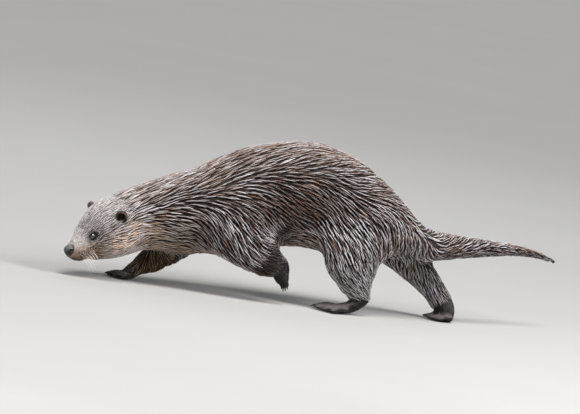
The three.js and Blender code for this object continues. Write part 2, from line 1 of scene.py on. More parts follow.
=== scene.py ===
"""A still, life-size Eurasian otter: a damp coat of pointed locks over one smooth skin.

Lengths are millimetres until a mesh is made; the camera and the lamps are placed in metres.
A "head place" is (back, rise, side): how far behind the tip of the nose, above the line of
the muzzle, and to the animal's left.
"""
import math

import bmesh
import bpy
import numpy as np
import openvdb
from mathutils import Matrix, Vector
from mathutils.bvhtree import BVHTree
from mathutils.kdtree import KDTree


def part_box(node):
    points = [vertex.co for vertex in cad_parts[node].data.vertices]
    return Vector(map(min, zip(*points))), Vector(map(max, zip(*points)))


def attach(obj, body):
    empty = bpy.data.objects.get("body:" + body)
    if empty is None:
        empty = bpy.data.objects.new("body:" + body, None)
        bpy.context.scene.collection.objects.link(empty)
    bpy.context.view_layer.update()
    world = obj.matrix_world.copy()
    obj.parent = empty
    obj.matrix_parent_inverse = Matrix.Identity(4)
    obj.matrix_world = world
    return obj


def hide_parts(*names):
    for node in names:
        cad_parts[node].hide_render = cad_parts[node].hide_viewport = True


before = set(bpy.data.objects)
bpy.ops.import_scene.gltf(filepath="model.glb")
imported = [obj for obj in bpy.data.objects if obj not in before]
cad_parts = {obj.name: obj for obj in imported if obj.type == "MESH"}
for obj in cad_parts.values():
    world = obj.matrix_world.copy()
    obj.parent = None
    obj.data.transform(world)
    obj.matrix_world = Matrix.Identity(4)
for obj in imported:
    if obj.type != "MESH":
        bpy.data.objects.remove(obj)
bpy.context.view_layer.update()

MM = 0.001
RANDOM = np.random.default_rng(20)
SIGNS = {"left": 1.0, "right": -1.0}

# What each stretch of the body wears: how far the skin is smoothed, how deep the coat lies
# over it, the length and width of a wet lock, the space from one lock to the lock beside
# it, and how much the locks hang where the body's side is steep.
KINDS = ("smooth", "depth", "length", "width", "space", "hang")
STRETCHES = {
    "head": (5.0, 2.0, 17.0, 3.7, 3.5, 0.12),
    "neck": (10.0, 3.3, 24.0, 5.3, 5.1, 0.45),
    "chest": (13.0, 3.8, 26.0, 6.2, 6.0, 0.75),
    "loin": (13.0, 3.6, 25.0, 6.0, 5.8, 1.15),
    "tail": (7.0, 2.8, 21.0, 4.5, 4.3, 0.10),
    "upper leg": (9.0, 3.3, 22.0, 5.2, 5.0, 1.50),
    "lower leg": (5.0, 2.0, 16.0, 3.4, 3.3, 0.50),
    "foot": (1.2, 0.8, 5.0, 1.2, 1.5, 0.0),
}
LIMBS = ("fore_left", "fore_right", "hind_left", "hind_right")
LIMB_PARTS = {"fore": ("upper_arm", "forearm", "paw"), "hind": ("thigh", "shank", "foot")}
CLAWS = [f"{limb}_claw_{number}" for limb in LIMBS for number in range(1, 6)]

# The stretch that each flesh node belongs to.
FLESH = {name: name for name in ("head", "neck", "chest", "loin")}
FLESH |= {f"tail_{part}": "tail" for part in ("root", "middle", "tip")}
for limb in LIMBS:
    for part, stretch in zip(LIMB_PARTS[limb[:4]], ("upper leg", "lower leg", "foot")):
        FLESH[f"{limb}_{part}"] = stretch

# ---- small helpers


def unit(vectors):
    """Vectors of length one."""
    vectors = np.asarray(vectors, float)
    return vectors / np.maximum(np.linalg.norm(vectors, axis=-1, keepdims=True), 1e-12)


def smoothstep(low, high, values):
    """0 below low, 1 above high and a smooth rise between."""
    t = np.clip((values - low) / (high - low), 0.0, 1.0)
    return t * t * (3.0 - 2.0 * t)


def falling(low, high, values):
    """1 below low, 0 above high and a smooth fall between."""
    return 1.0 - smoothstep(low, high, values)


def ridge(values, width):
    """1 where the values are 0, falling smoothly to 0 a little beyond width."""
    return np.exp(-((values / width) ** 2))


def blob(places, centre, size):
    """1 at centre, falling smoothly to 0 a little beyond size."""
    return np.exp(-(((places - np.asarray(centre)) / np.asarray(size)) ** 2).sum(-1))


def noise(points, scale, seed):
    """Smooth noise from -1 to 1 with bumps about scale apart."""
    cell = points / scale + 1000.0
    base = np.floor(cell).astype(np.int64)
    inside = cell - base
    inside = inside * inside * (3.0 - 2.0 * inside)
    total = np.zeros(len(points))
    for corner in np.ndindex(2, 2, 2):
        i, j, k = (base + corner).T
        mixed = (i * 73856093) ^ (j * 19349663) ^ (k * 83492791) ^ (seed * 2654435761)
        mixed = ((mixed ^ (mixed >> 13)) * 1274126177) & 0xFFFFFFFF
        value = ((mixed ^ (mixed >> 16)) & 0xFFFF) / 32767.5 - 1.0
        total += np.where(corner, inside, 1.0 - inside).prod(1) * value
    return total


def centre_of(node):
    """The middle of a CAD node's box."""
    low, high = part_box(node)
    return np.array((low + high) / 2) / MM


def taken_from(shape):
    """The points and faces of a bmesh, which is then freed."""
    shape.verts.index_update()
    points = np.array([v.co for v in shape.verts])
    faces = np.array([[v.index for v in f.verts] for f in shape.faces])
    shape.free()
    return points, faces


def ball(subdivisions):
    """Points and triangles of a ball with a radius of one."""
    shape = bmesh.new()
    bmesh.ops.create_icosphere(shape, subdivisions=subdivisions, radius=1.0)
    return taken_from(shape)


def joined(parts):
    """Several (points, faces) as one."""
    starts = np.cumsum([0] + [len(points) for points, _ in parts[:-1]])
    faces = [faces + start for (_, faces), start in zip(parts, starts)]
    return np.concatenate([points for points, _ in parts]), np.concatenate(faces)


def placed(name, data):
    """A new object in the scene."""
    thing = bpy.data.objects.new(name, data)
    bpy.context.scene.collection.objects.link(thing)
    return thing


def new_mesh(name, points, faces, smooth=True):
    """An object from points in millimetres and faces that all have as many corners."""
    faces = np.asarray(faces, np.int32)
    mesh = bpy.data.meshes.new(name)
    mesh.vertices.add(len(points))
    mesh.vertices.foreach_set("co", (np.asarray(points) * MM).astype(np.float32).ravel())
    mesh.loops.add(faces.size)
    mesh.loops.foreach_set("vertex_index", faces.ravel())
    mesh.polygons.add(len(faces))
    starts = np.arange(0, faces.size, faces.shape[1], dtype=np.int32)
    mesh.polygons.foreach_set("loop_start", starts)
    mesh.update(calc_edges=True)
    mesh.validate()
    mesh.polygons.foreach_set("use_smooth", np.full(len(mesh.polygons), smooth))
    return placed(name, mesh)


def add_piece(piece, material, replaced=()):
    """Gives a piece its material and ties it to the CAD frame."""
    piece.data.materials.clear()
    piece.data.materials.append(material)
    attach(piece, "root")
    if replaced:
        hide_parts(*replaced)


def points_of(piece):
    """A piece's vertices in millimetres."""
    flat = np.empty(len(piece.data.vertices) * 3, np.float32)
    piece.data.vertices.foreach_get("co", flat)
    return flat.reshape(-1, 3).astype(float) / MM


def set_colours(piece, colours):
    """Stores a linear colour for each vertex, which the materials read as "tint"."""
    layer = piece.data.color_attributes.new("tint", "FLOAT_COLOR", "POINT")
    rgba = np.ones((len(colours), 4), np.float32)
    rgba[:, :3] = colours
    layer.data.foreach_set("color", rgba.ravel())


# ---- the camera

VIEW_TURN = math.radians(20.0)      # round the animal, from straight at its left side
VIEW_DROP = math.radians(5.0)       # looking down
VIEW_ROLL = math.radians(9.7)       # the camera is tipped on its axis
VIEW_DISTANCE = 30.0
VIEW_WIDTH = 0.87                   # metres across the picture at the animal
SENSOR = 36.0
AIM = Vector((-0.0614, -0.0155, 0.1414))


def make_camera():
    """The camera at the photograph's viewing angle."""
    ahead = Vector((
        math.sin(VIEW_TURN) * math.cos(VIEW_DROP),
        math.cos(VIEW_TURN) * math.cos(VIEW_DROP),
        -math.sin(VIEW_DROP),
    ))
    level = Vector((math.cos(VIEW_TURN), -math.sin(VIEW_TURN), 0.0))
    upright = level.cross(ahead)
    right = level * math.cos(VIEW_ROLL) + upright * math.sin(VIEW_ROLL)
    up = upright * math.cos(VIEW_ROLL) - level * math.sin(VIEW_ROLL)
    data = bpy.data.cameras.new("camera")
    data.sensor_width = SENSOR
    data.lens = SENSOR * VIEW_DISTANCE / VIEW_WIDTH
    camera = placed("camera", data)
    turned = Matrix((right, up, -ahead)).transposed().to_4x4()
    camera.matrix_world = Matrix.Translation(AIM - ahead * VIEW_DISTANCE) @ turned
    bpy.context.scene.camera = camera


make_camera()

# ---- the head's own axes

EYE_BACK, EYE_RISE = 42.8, 7.8      # the eyes' head place
PAD_BACK, PAD_RISE = 8.0, -0.5      # the nose pad's head place
EYES = {side: centre_of(f"eye_{side}") for side in SIGNS}
EYE_RADIUS = float(np.ptp(np.array(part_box("eye_left")) / MM, axis=0).max() / 2)
PAD = centre_of("nose_pad")
MIDDLE_Y = centre_of("chest")[1]


def head_axes():
    """The head's back, up and left directions, and the tip of its nose."""
    left = unit(EYES["left"] - EYES["right"])
    along = unit((EYES["left"] + EYES["right"]) / 2 - PAD)
    upward = np.cross(left, -along)
    upward *= np.sign(upward[2])
    slope = math.atan2(EYE_RISE - PAD_RISE, EYE_BACK - PAD_BACK)
    back = along * math.cos(slope) - upward * math.sin(slope)
    rise = along * math.sin(slope) + upward * math.cos(slope)
    tip = PAD - back * PAD_BACK - rise * PAD_RISE
    return np.array([back, rise, left]), tip


HEAD_AXES, NOSE_TIP = head_axes()
BACK, RISE, LEFT = HEAD_AXES


def head_place(points):
    """Points as (back, rise, side)."""
    return (points - NOSE_TIP) @ HEAD_AXES.T


def folded(places):
    """Head places with both sides laid on to one."""
    return np.column_stack([places[:, :2], np.abs(places[:, 2])])


def eye_distance(points):
    """How far each point lies from the nearer eye."""
    return np.minimum.reduce([np.linalg.norm(points - eye, axis=1) for eye in EYES.values()])


# ---- meshes as arrays


def links(faces, count):
    """Each edge once, as two index columns, and how many edges meet at each vertex."""
    corners = faces.shape[1]
    sides = np.concatenate([faces[:, [i, (i + 1) % corners]] for i in range(corners)])
    sides = np.unique(np.sort(sides, axis=1), axis=0)
    a, b = sides.T
    return a, b, np.bincount(a, minlength=count) + np.bincount(b, minlength=count)


def spread_over(values, edges, weight, rounds):
    """Averages values with their neighbours', weight of the way, this many rounds."""
    a, b, degree = edges
    values = values.astype(float)
    flat = values.reshape(len(values), -1)
    weight = np.broadcast_to(np.asarray(weight, float), (len(values),))
    for _ in range(rounds):
        for column in range(flat.shape[1]):
            v = flat[:, column]
            total = np.bincount(a, v[b], len(v)) + np.bincount(b, v[a], len(v))
            flat[:, column] = v + weight * (total / np.maximum(degree, 1) - v)
    return flat.reshape(values.shape)


def face_normals(points, faces):
    """A normal for each face, as long as twice its area."""
    corners = points[faces].transpose(1, 0, 2)
    if len(corners) == 4:
        return np.cross(corners[2] - corners[0], corners[3] - corners[1])
    return np.cross(corners[1] - corners[0], corners[2] - corners[0])


def vertex_normals(points, faces):
    """A unit normal for each vertex."""
    across = face_normals(points, faces)
    total = np.zeros_like(points)
    for corner in faces.T:
        for axis in range(3):
            total[:, axis] += np.bincount(corner, across[:, axis], len(points))
    return unit(total)


def laid_flat(vectors, normals):
    """Vectors without the part that stands on the skin."""
    return vectors - (vectors * normals).sum(1)[:, None] * normals


def tree_of(points, faces):
    """A tree that finds the nearest place on a mesh."""
    return BVHTree.FromPolygons(points.tolist(), faces.tolist())


def nearest_on(tree, points):
    """The nearest place on a tree, and its face, for each point."""
    found = [tree.find_nearest(Vector(p)) for p in points]
    return np.array([f[0] for f in found]), np.array([f[2] for f in found])


# ---- the flesh and whose skin is whose

STRETCH_ROUNDS = 12     # how softly one stretch passes into the next
SOFT_ROUNDS = 24        # how softly one marking does


def flesh_soup():
    """Every flesh node's vertices and triangles, and the node number of each triangle."""
    parts, owners = [], []
    for number, name in enumerate(FLESH):
        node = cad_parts[name]
        node.data.calc_loop_triangles()
        flat = np.empty(len(node.data.loop_triangles) * 3, np.int32)
        node.data.loop_triangles.foreach_get("vertices", flat)
        parts.append((points_of(node), flat.reshape(-1, 3)))
        owners.append(np.full(len(flat) // 3, number))
    return *joined(parts), np.concatenate(owners)


SOUP_POINTS, SOUP_TRIANGLES, SOUP_OWNERS = flesh_soup()
SOUP_TREE = tree_of(SOUP_POINTS, SOUP_TRIANGLES)


def owner_of(points):
    """The number of the flesh node that each point lies nearest."""
    return SOUP_OWNERS[nearest_on(SOUP_TREE, points)[1]]


def belongs(owners, *words):
    """Which owners have one of these words in their names."""
    return np.array([any(word in name for word in words) for name in FLESH])[owners]


def stretch_values(points, edges, kind):
    """A column of STRETCHES for each vertex, blended where two stretches meet."""
    column = np.array([STRETCHES[stretch][KINDS.index(kind)] for stretch in FLESH.values()])
    return spread_over(column[owner_of(points)], edges, 0.5, STRETCH_ROUNDS)


# ---- the skin

BRIDGE = 0.5        # swells the flesh enough to close the thin cuts between its nodes
FINE_CELL = 1.0
SKIN_CELL = 3.0
MUZZLE_END = 40.0   # the finest skin ends this far behind the nose
FINE_EYE = 2.3      # and this many eye radii round each eye
TOE_REACH = 9.0     # how far the skin is drawn out to a toe's tip
TOE_HALF = 3.2      # half a toe's width
SOLE_RISE = 0.1     # the soles' height over the floor
CLAW_SINK = 0.25    # how far along its claw a toe's tip reaches
BARE_DEPTH = 0.65   # how much of the coat's depth the front of the muzzle lacks


def level_set(points, cell, **faces):
    """A volume that holds the distance to a closed mesh of triangles or quads."""
    return openvdb.FloatGrid.createLevelSetFromPolygons(
        points.astype(np.float32),
        transform=openvdb.createLinearTransform(voxelSize=cell),
        halfWidth=3.0,
        **{kind: rows.astype(np.uint32) for kind, rows in faces.items()},
    )


def bridged_flesh():
    """One closed mesh round all the flesh, with the eye sockets filled."""
    points, triangles = ball(4)
    parts = [(points * EYE_RADIUS + eye, triangles) for eye in EYES.values()]
    points, triangles = joined([(SOUP_POINTS, SOUP_TRIANGLES), *parts])
    points, quads = level_set(points, FINE_CELL, triangles=triangles).convertToQuads(BRIDGE)
    return points.astype(float), quads


def smooth_skin(points, faces, edges):
    """Rounds the solids' facets away, each stretch by its own amount, and keeps the bulk."""
    reach = stretch_values(points, edges, "smooth")
    most = max(row[0] for row in STRETCHES.values())
    rounds = round((most / SKIN_CELL) ** 2 / 0.25)
    share = np.clip(0.5 * (reach / reach.max()) ** 2, 0.02, 0.5)
    rounded = spread_over(points, edges, share, rounds)
    normals = vertex_normals(rounded, faces)
    lost = spread_over(((points - rounded) * normals).sum(1), edges, share, rounds)
    return rounded + normals * lost[:, None]


def subdivided(points, faces, chosen):
    """Splits the chosen faces in four, and whatever borders them to match."""
    mesh = bmesh.new()
    verts = [mesh.verts.new(p) for p in points]
    made = [mesh.faces.new([verts[i] for i in face]) for face in faces]
    picked = [made[i] for i in np.flatnonzero(chosen)]
    sides = list({edge for face in picked for edge in face.edges})
    bmesh.ops.subdivide_edges(mesh, edges=sides, cuts=1, use_grid_fill=True)
    bmesh.ops.triangulate(mesh, faces=mesh.faces)
    return taken_from(mesh)


MOUTH_LINE = ((5.0, -11.5), (10.0, -15.0), (18.0, -18.5), (28.0, -20.0), (38.0, -19.0), (45.0, -18.0))
TEAR_LINE = ((36.5, 5.5), (30.0, 2.0), (23.0, -0.5))

# Swellings and hollows of the face: how far each stands out, its head place and its reach.
FACE_FORMS = (
    (1.4, (23.0, -9.0, 18.0), (12.0, 8.0, 9.0)),        # whisker pad
    (0.9, (42.0, 15.5, 17.0), (10.0, 4.0, 8.0)),        # brow
    (-1.1, (33.0, 4.0, 17.0), (7.0, 3.5, 8.0)),         # before the eye
    (0.8, (46.0, 0.0, 23.0), (8.0, 3.0, 8.0)),          # below the eye
    (-0.8, (45.0, -5.5, 25.0), (12.0, 2.0, 8.0)),       # the hollow under that
    (1.3, (62.0, -10.0, 42.0), (14.0, 14.0, 14.0)),     # cheek
)


def line_distance(places, corners):
    """Distance from a line of (back, rise) corners, seen from the side."""
    line = np.array(corners)
    best = np.full(len(places), 1e9)
    for start, end in zip(line[:-1], line[1:]):
        run = end - start
        t = np.clip(((places[:, :2] - start) @ run) / (run @ run), 0.0, 1.0)
        best = np.minimum(best, np.linalg.norm(places[:, :2] - start - t[:, None] * run, axis=1))
    return best


def tear_groove(places):
    """How deep in the groove before the eye each folded place lies."""
    return ridge(line_distance(places, TEAR_LINE), 0.9) * (places[:, 2] > 6.0)


def face_relief(places):
    """How far the skin of the face stands out of its plain shape."""
    places = folded(places)
    back, rise, side = places.T
    relief = sum(out * blob(places, centre, size) for out, centre, size in FACE_FORMS)
    lips = ridge(line_distance(places, MOUTH_LINE), 1.3) * smoothstep(3.0, 8.0, side)
    relief -= 1.8 * lips * falling(40.0, 47.0, back)
    relief -= 0.9 * tear_groove(places)
    behind = back - EYE_BACK
    for number in range(3):             # folds behind the eye
        bend = rise - EYE_RISE + 1.0 - (number - 1) * 0.33 * behind
        fold = ridge(bend, 0.8) * smoothstep(6.5, 9.0, behind) * falling(12.0, 17.0, behind)
        relief -= 0.9 * fold
    return relief * falling(56.0, 64.0, back)


LID_WIDTH = 5.9     # half the opening between the corners of the eye
LID_HEIGHT = 3.9    # half its height
LID_EDGE = 0.55     # the lids' thickness over the eyeball


def eye_axes(side):
    """The eye's outward, forward-corner and up directions."""
    outward = unit(SIGNS[side] * LEFT * 0.88 - BACK * 0.38 + RISE * 0.28)
    corner = unit(-BACK - RISE * 0.30 - outward * ((-BACK - RISE * 0.30) @ outward))
    upward = np.cross(outward, corner)
    return outward, corner, upward * np.sign(upward @ RISE)


def make_lids(points):
    """Wraps the skin round each eyeball as two lids with an almond opening."""
    for side, eye in EYES.items():
        axes = np.array(eye_axes(side))
        near = np.linalg.norm(points - eye, axis=1) < 3.2 * EYE_RADIUS
        near = np.flatnonzero(near & ((points - eye) @ axes[0] > -2.0))
        out, across, height = ((points[near] - eye) @ axis for axis in axes)
        opening = np.hypot(across / LID_WIDTH, (height - 0.06 * across) / LID_HEIGHT)
        flat = np.hypot(across, height)
        over = np.sqrt(np.maximum((EYE_RADIUS + LID_EDGE) ** 2 - flat ** 2, 0.0))
        lid = falling(0.92 * EYE_RADIUS, 1.75 * EYE_RADIUS, flat)
        shaped = out + lid * (over - out) + 0.5 * ridge(opening - 1.15, 0.14)
        sunk = falling(0.86, 1.0, opening)
        shaped = shaped + sunk * (np.minimum(over - 3.2, 2.0) - shaped)
        shaped = shaped - 0.6 * ridge(opening - 1.65, 0.16) * (height > 0)
        out, across, height = shaped[:, None], across[:, None], height[:, None]
        points[near] = eye + across * axes[1] + height * axes[2] + out * axes[0]
    return points


def drawn_out(tree, points, normals):
    """Where each foot point belongs on the flesh: out along its normal, or else the nearest place."""
    close, _ = nearest_on(tree, points)
    for number, (point, normal) in enumerate(zip(points, normals)):
        place, facing, _, _ = tree.ray_cast(Vector(point), Vector(normal), TOE_REACH)
        if place is not None and facing.dot(Vector(normal)) > 0.3:
            close[number] = place
    return close


def with_toes(points, faces, edges, feet, tree):
    """Draws the feet back on to the flesh, so that the toes stay apart and keep their tips."""
    back_on = spread_over(feet.astype(float), edges, 0.5, 6)[feet]
    for rounds in (6, 4):
        close = drawn_out(tree, points[feet], vertex_normals(points, faces)[feet])
        points[feet] += (close - points[feet]) * back_on[:, None]
        points = spread_over(points, edges, 0.5 * feet, rounds)
    return points


def reach_claws(points, normals):
    """Draws each toe's tip out until it meets its claw."""
    for name in CLAWS:
        limb = name.split("_claw")[0]
        paw = centre_of(f"{limb}_{LIMB_PARTS[limb[:4]][-1]}")
        claw = points_of(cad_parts[name])
        far = np.linalg.norm(claw - paw, axis=1)
        root = claw[far < np.quantile(far, 0.3)].mean(0)
        tip = claw[far > np.quantile(far, 0.9)].mean(0)
        target = root + CLAW_SINK * (tip - root)
        nearest = np.argmin(np.linalg.norm(points - target, axis=1))
        pull = target - points[nearest]
        if pull @ normals[nearest] >= 0.0:
            share = ridge(np.linalg.norm(points - points[nearest], axis=1), TOE_HALF)
            points = points + pull * share[:, None]
    return points


def plain_skin(flesh_points, flesh_quads):
    """The smoothed skin, finer on the head and feet and finest on the muzzle and round the eyes."""
    grid = level_set(flesh_points, SKIN_CELL, quads=flesh_quads)
    points, faces = grid.convertToQuads(0.0)
    points, faces = points.astype(float), faces.astype(np.int64)[:, ::-1]
    points = smooth_skin(points, faces, links(faces, len(points)))
    owners = owner_of(points[faces].mean(1))
    points, faces = subdivided(points, faces, belongs(owners, "head", "paw", "foot"))
    middles = points[faces].mean(1)
    finest = (eye_distance(middles) < FINE_EYE * EYE_RADIUS) | (head_place(middles)[:, 0] < MUZZLE_END)
    return subdivided(points, faces, finest)


def make_skin():
    """The skin's points and triangles: the flesh less the depth of the coat, with the face's forms."""
    flesh_points, flesh_quads = bridged_flesh()
    points, faces = plain_skin(flesh_points, flesh_quads)
    edges = links(faces, len(points))
    owners = owner_of(points)
    feet = belongs(owners, "paw", "foot")
    points = with_toes(points, faces, edges, feet, tree_of(flesh_points, flesh_quads))
    normals = vertex_normals(points, faces)
    depth = stretch_values(points, edges, "depth") + BRIDGE
    depth *= smoothstep(0.5, 8.0, points[:, 2])
    places = head_place(points)
    is_head = belongs(owners, "head")
    depth *= 1.0 - BARE_DEPTH * (falling(8.0, 34.0, places[:, 0]) * is_head)
    relief = np.where(is_head, face_relief(places), 0.0)
    points = reach_claws(points + normals * (relief - depth)[:, None], normals)
    points[:, 2] = np.maximum(points[:, 2], SOLE_RISE)
    return make_lids(points), faces


SKIN_POINTS, SKIN_FACES = make_skin()
SKIN_EDGES = links(SKIN_FACES, len(SKIN_POINTS))
SKIN_NORMALS = vertex_normals(SKIN_POINTS, SKIN_FACES)
SKIN_OWNERS = owner_of(SKIN_POINTS)
SKIN_PLACES = head_place(SKIN_POINTS)

# ---- the lie of the coat


def distance_from_nose():
    """Distance over the skin from the tip of the nose, by relaxing along the edges."""
    a, b, _ = SKIN_EDGES
    step = np.linalg.norm(SKIN_POINTS[a] - SKIN_POINTS[b], axis=1)
    walked = np.full(len(SKIN_POINTS), np.inf)
    walked[np.argmin(np.linalg.norm(SKIN_POINTS - NOSE_TIP, axis=1))] = 0.0
    while True:
        before = walked.copy()
        np.minimum.at(walked, a, before[b] + step)
        np.minimum.at(walked, b, before[a] + step)
        if np.array_equal(before, walked):
            return np.where(np.isfinite(walked), walked, 0.0)


def coat_flow():
    """The direction in which the hair lies at each vertex: away from the nose, and hanging."""
    points, normals = SKIN_POINTS, SKIN_NORMALS
    walked = spread_over(distance_from_nose(), SKIN_EDGES, 0.5, 8)
    a, b, _ = SKIN_EDGES
    run = points[b] - points[a]
    slope = ((walked[b] - walked[a]) / np.maximum((run * run).sum(1), 1e-9))[:, None] * run
    flow = np.column_stack([
        np.bincount(a, column, len(points)) + np.bincount(b, column, len(points)) for column in slope.T
    ])
    flow = unit(flow)
    steep = smoothstep(0.92, -0.10, normals[:, 2])
    rear = 1.0 + 1.8 * smoothstep(20.0, 120.0, points[:, 0])
    flow[:, 2] -= stretch_values(points, SKIN_EDGES, "hang") * steep * rear
    for _ in range(5):
        flow = spread_over(unit(laid_flat(flow, normals)), SKIN_EDGES, 0.5, 8)
    return unit(laid_flat(flow, normals))


SKIN_FLOW = coat_flow()

# ---- markings, painted highlight and painted shade


def linear(red, green, blue):
    """A linear colour from an ordinary 0-255 one."""
    share = np.array([red, green, blue]) / 255.0
    return np.where(share <= 0.04045, share / 12.92, ((share + 0.055) / 1.055) ** 2.4)


FLANK = linear(66, 43, 31)
# The colour of the painted highlight where the skin faces up.
PAINTED_TOP_HIGHLIGHT = linear(122, 98, 84)
CHESTNUT = linear(112, 76, 53)
THROAT = linear(118, 96, 76)
CHEEK = linear(204, 174, 148)
CROWN = linear(184, 172, 167)
MUZZLE_TOP = linear(216, 210, 206)
WHISKER_PAD = linear(132, 109, 98)
LIP = linear(112, 94, 86)
# The whisker dots, and the painted shade in the mouth's groove and the groove before the eye.
DOT_AND_GROOVE_SHADE = linear(26, 18, 16)
DARK_FOOT = linear(34, 27, 24)
# The grey of the painted sheen on the tops of the feet.
PAINTED_FOOT_SHEEN = linear(128, 120, 117)
INNER_ARM = linear(132, 106, 76)
# The eye's dark rim, and the painted shade in the crease above the eye.
EYE_RIM_AND_CREASE_SHADE = linear(26, 20, 19)
LOWER_LID = linear(132, 122, 120)
BELLY = linear(132, 108, 88)
# The pale colour of the painted highlight on the wet locks' crests.
PAINTED_HIGHLIGHT = linear(224, 222, 227)
# The pale colour of the painted highlight on the rump.
PAINTED_RUMP_HIGHLIGHT = linear(172, 156, 150)


def painted(colours, *layers):
    """Lays each (colour, share) layer over the colours in turn."""
    for colour, share in layers:
        colours = colours + np.clip(share, 0.0, 1.0)[:, None] * (colour - colours)
    return colours


def plain(colour, count):
    """The same colour for each of so many vertices."""
    return np.tile(colour, (count, 1))


def soft_share(*words):
    """How much each vertex of the skin belongs to these nodes, blended where they end."""
    return spread_over(belongs(SKIN_OWNERS, *words).astype(float), SKIN_EDGES, 0.5, SOFT_ROUNDS)


def whisker_roots():
    """The (back, rise) of each whisker's root, in rows that sink towards the lip."""
    roots = []
    for row in range(5):
        for number in range(7 - row // 2):
            back = 13.0 + 3.9 * number + 1.9 * (row % 2)
            roots.append((back, -2.6 - 3.3 * row - 0.12 * back))
    return roots


def body_markings_and_painted_light():
    """The colours of the trunk, tail and legs, with painted highlight where the skin faces up,
    on the rump and on the tops of the feet, and painted shade under the tail.
    """
    points, up = SKIN_POINTS, SKIN_NORMALS[:, 2]
    top = smoothstep(0.15, 0.9, up)
    under = smoothstep(0.35, 0.9, -up)
    trunk = soft_share("neck", "chest", "loin", "thigh", "upper_arm")
    feet, arms = soft_share("paw", "foot"), soft_share("forearm")
    low_noise, patch_noise = noise(points, 42.0, 3), noise(points, 19.0, 5)
    rear = smoothstep(60.0, 150.0, points[:, 0]) * soft_share("loin", "thigh") * (1.0 - under)
    inner = falling(-0.3, 0.5, SKIN_NORMALS[:, 1] * np.sign(points[:, 1] - MIDDLE_Y))
    colours = painted(
        plain(FLANK, len(points)),
        # Painted highlight: paler and greyer where the skin faces up.
        (PAINTED_TOP_HIGHLIGHT, top * 0.8),
        (BELLY, under * trunk * 0.8),
        # Painted highlight on the side of the rump and the thighs.
        (PAINTED_RUMP_HIGHLIGHT, 0.8 * rear * (1.0 - 0.5 * top)),
        (CHESTNUT, 0.45 * smoothstep(0.1, 0.8, patch_noise) * trunk * (1.0 - top)),
        (THROAT, 0.75 * soft_share("neck") * smoothstep(0.15, -0.6, up)),
        (FLANK * 0.6, 0.5 * smoothstep(0.1, 0.7, low_noise) * trunk * (1.0 - top)),
        # Painted shade: darker under the tail.
        (FLANK * 0.6, 0.8 * under * soft_share("tail")),
        (DARK_FOOT, 0.9 * feet + 0.35 * soft_share("shank") + 0.75 * arms),
        (INNER_ARM, 0.75 * inner * arms * (1.0 - feet)),
        # Painted sheen: grey on the tops of the hind feet and fore paws, a painted reflection of the wet
        # skin.
        (PAINTED_FOOT_SHEEN, soft_share("_foot") * smoothstep(-0.1, 0.8, up) * 0.75),
        (PAINTED_FOOT_SHEEN, 0.3 * soft_share("_paw") * smoothstep(0.2, 0.9, up)),
    )
    return colours * (1.0 + 0.10 * low_noise + 0.08 * patch_noise)[:, None]


def head_markings_and_groove_shade(colours):
    """Adds the colours of the head: grey crown and muzzle, warm cheek and a dotted whisker pad, with
    painted shade in the mouth's groove and the groove before the eye.
    """
    places = folded(SKIN_PLACES)
    back, rise, side = places.T
    head = soft_share("head", "neck") * falling(84.0, 142.0, back)
    dots = []
    for root_back, root_rise in whisker_roots():
        away = np.hypot(back - root_back, rise - root_rise)
        dots.append((DOT_AND_GROOVE_SHADE, 0.9 * head * falling(1.1, 1.8, away) * (side > 8.0)))
    lips = ridge(line_distance(places, MOUTH_LINE), 1.0) * (back < 42.0)
    return painted(
        colours,
        (CROWN, head * smoothstep(0.0, 24.0, rise)),
        (CHEEK, head * smoothstep(14.0, -8.0, rise) * 0.95),
        (THROAT, head * smoothstep(-22.0, -36.0, rise) * 0.8),
        (MUZZLE_TOP, head * falling(26.0, 52.0, back) * smoothstep(-3.0, 7.0, rise) * 0.9),
        (CROWN * 0.75, 0.7 * head * blob(places, (50.0, -1.0, 26.0), (12.0, 5.0, 12.0))),
        (WHISKER_PAD, 0.9 * (head * falling(12.0, 32.0, back) * smoothstep(3.0, -4.0, rise))),
        (WHISKER_PAD, 1.3 * head * blob(places, (23.0, -11.0, 20.0), (15.0, 9.0, 14.0))),
        (LIP, 0.8 * head * blob(places, (7.0, -13.0, 0.0), (12.0, 6.0, 18.0))),
        *dots,
        (THROAT, head * blob(places, (99.0, 6.0, 44.0), (9.0, 7.0, 9.0))),
        # Painted shade in the mouth's groove and in the groove before the eye.
        (DOT_AND_GROOVE_SHADE, 0.75 * head * lips),
        (DOT_AND_GROOVE_SHADE, 0.7 * head * tear_groove(places)),
    )


def eye_markings_and_crease_shade(colours):
    """Adds the dark rim of each eye and the paler lid below it, with painted shade in the crease above it.
    """
    for side, eye in EYES.items():
        out, across, height = ((SKIN_POINTS - eye) @ axis for axis in eye_axes(side))
        facing = out > 0
        ring = np.hypot(across / 1.45, height) / EYE_RADIUS
        below = (height < 0.5) & (across > -6.5)
        colours = painted(
            colours,
            (LOWER_LID, 0.8 * facing * below * falling(1.5, 1.9, ring)),
            (EYE_RIM_AND_CREASE_SHADE, facing * falling(0.85, 1.12, ring)),
            # Painted shade in the crease above the eye.
            (EYE_RIM_AND_CREASE_SHADE, 0.75 * (facing * (height > 0) * ridge(ring - 1.55, 0.16))),
        )
    return colours


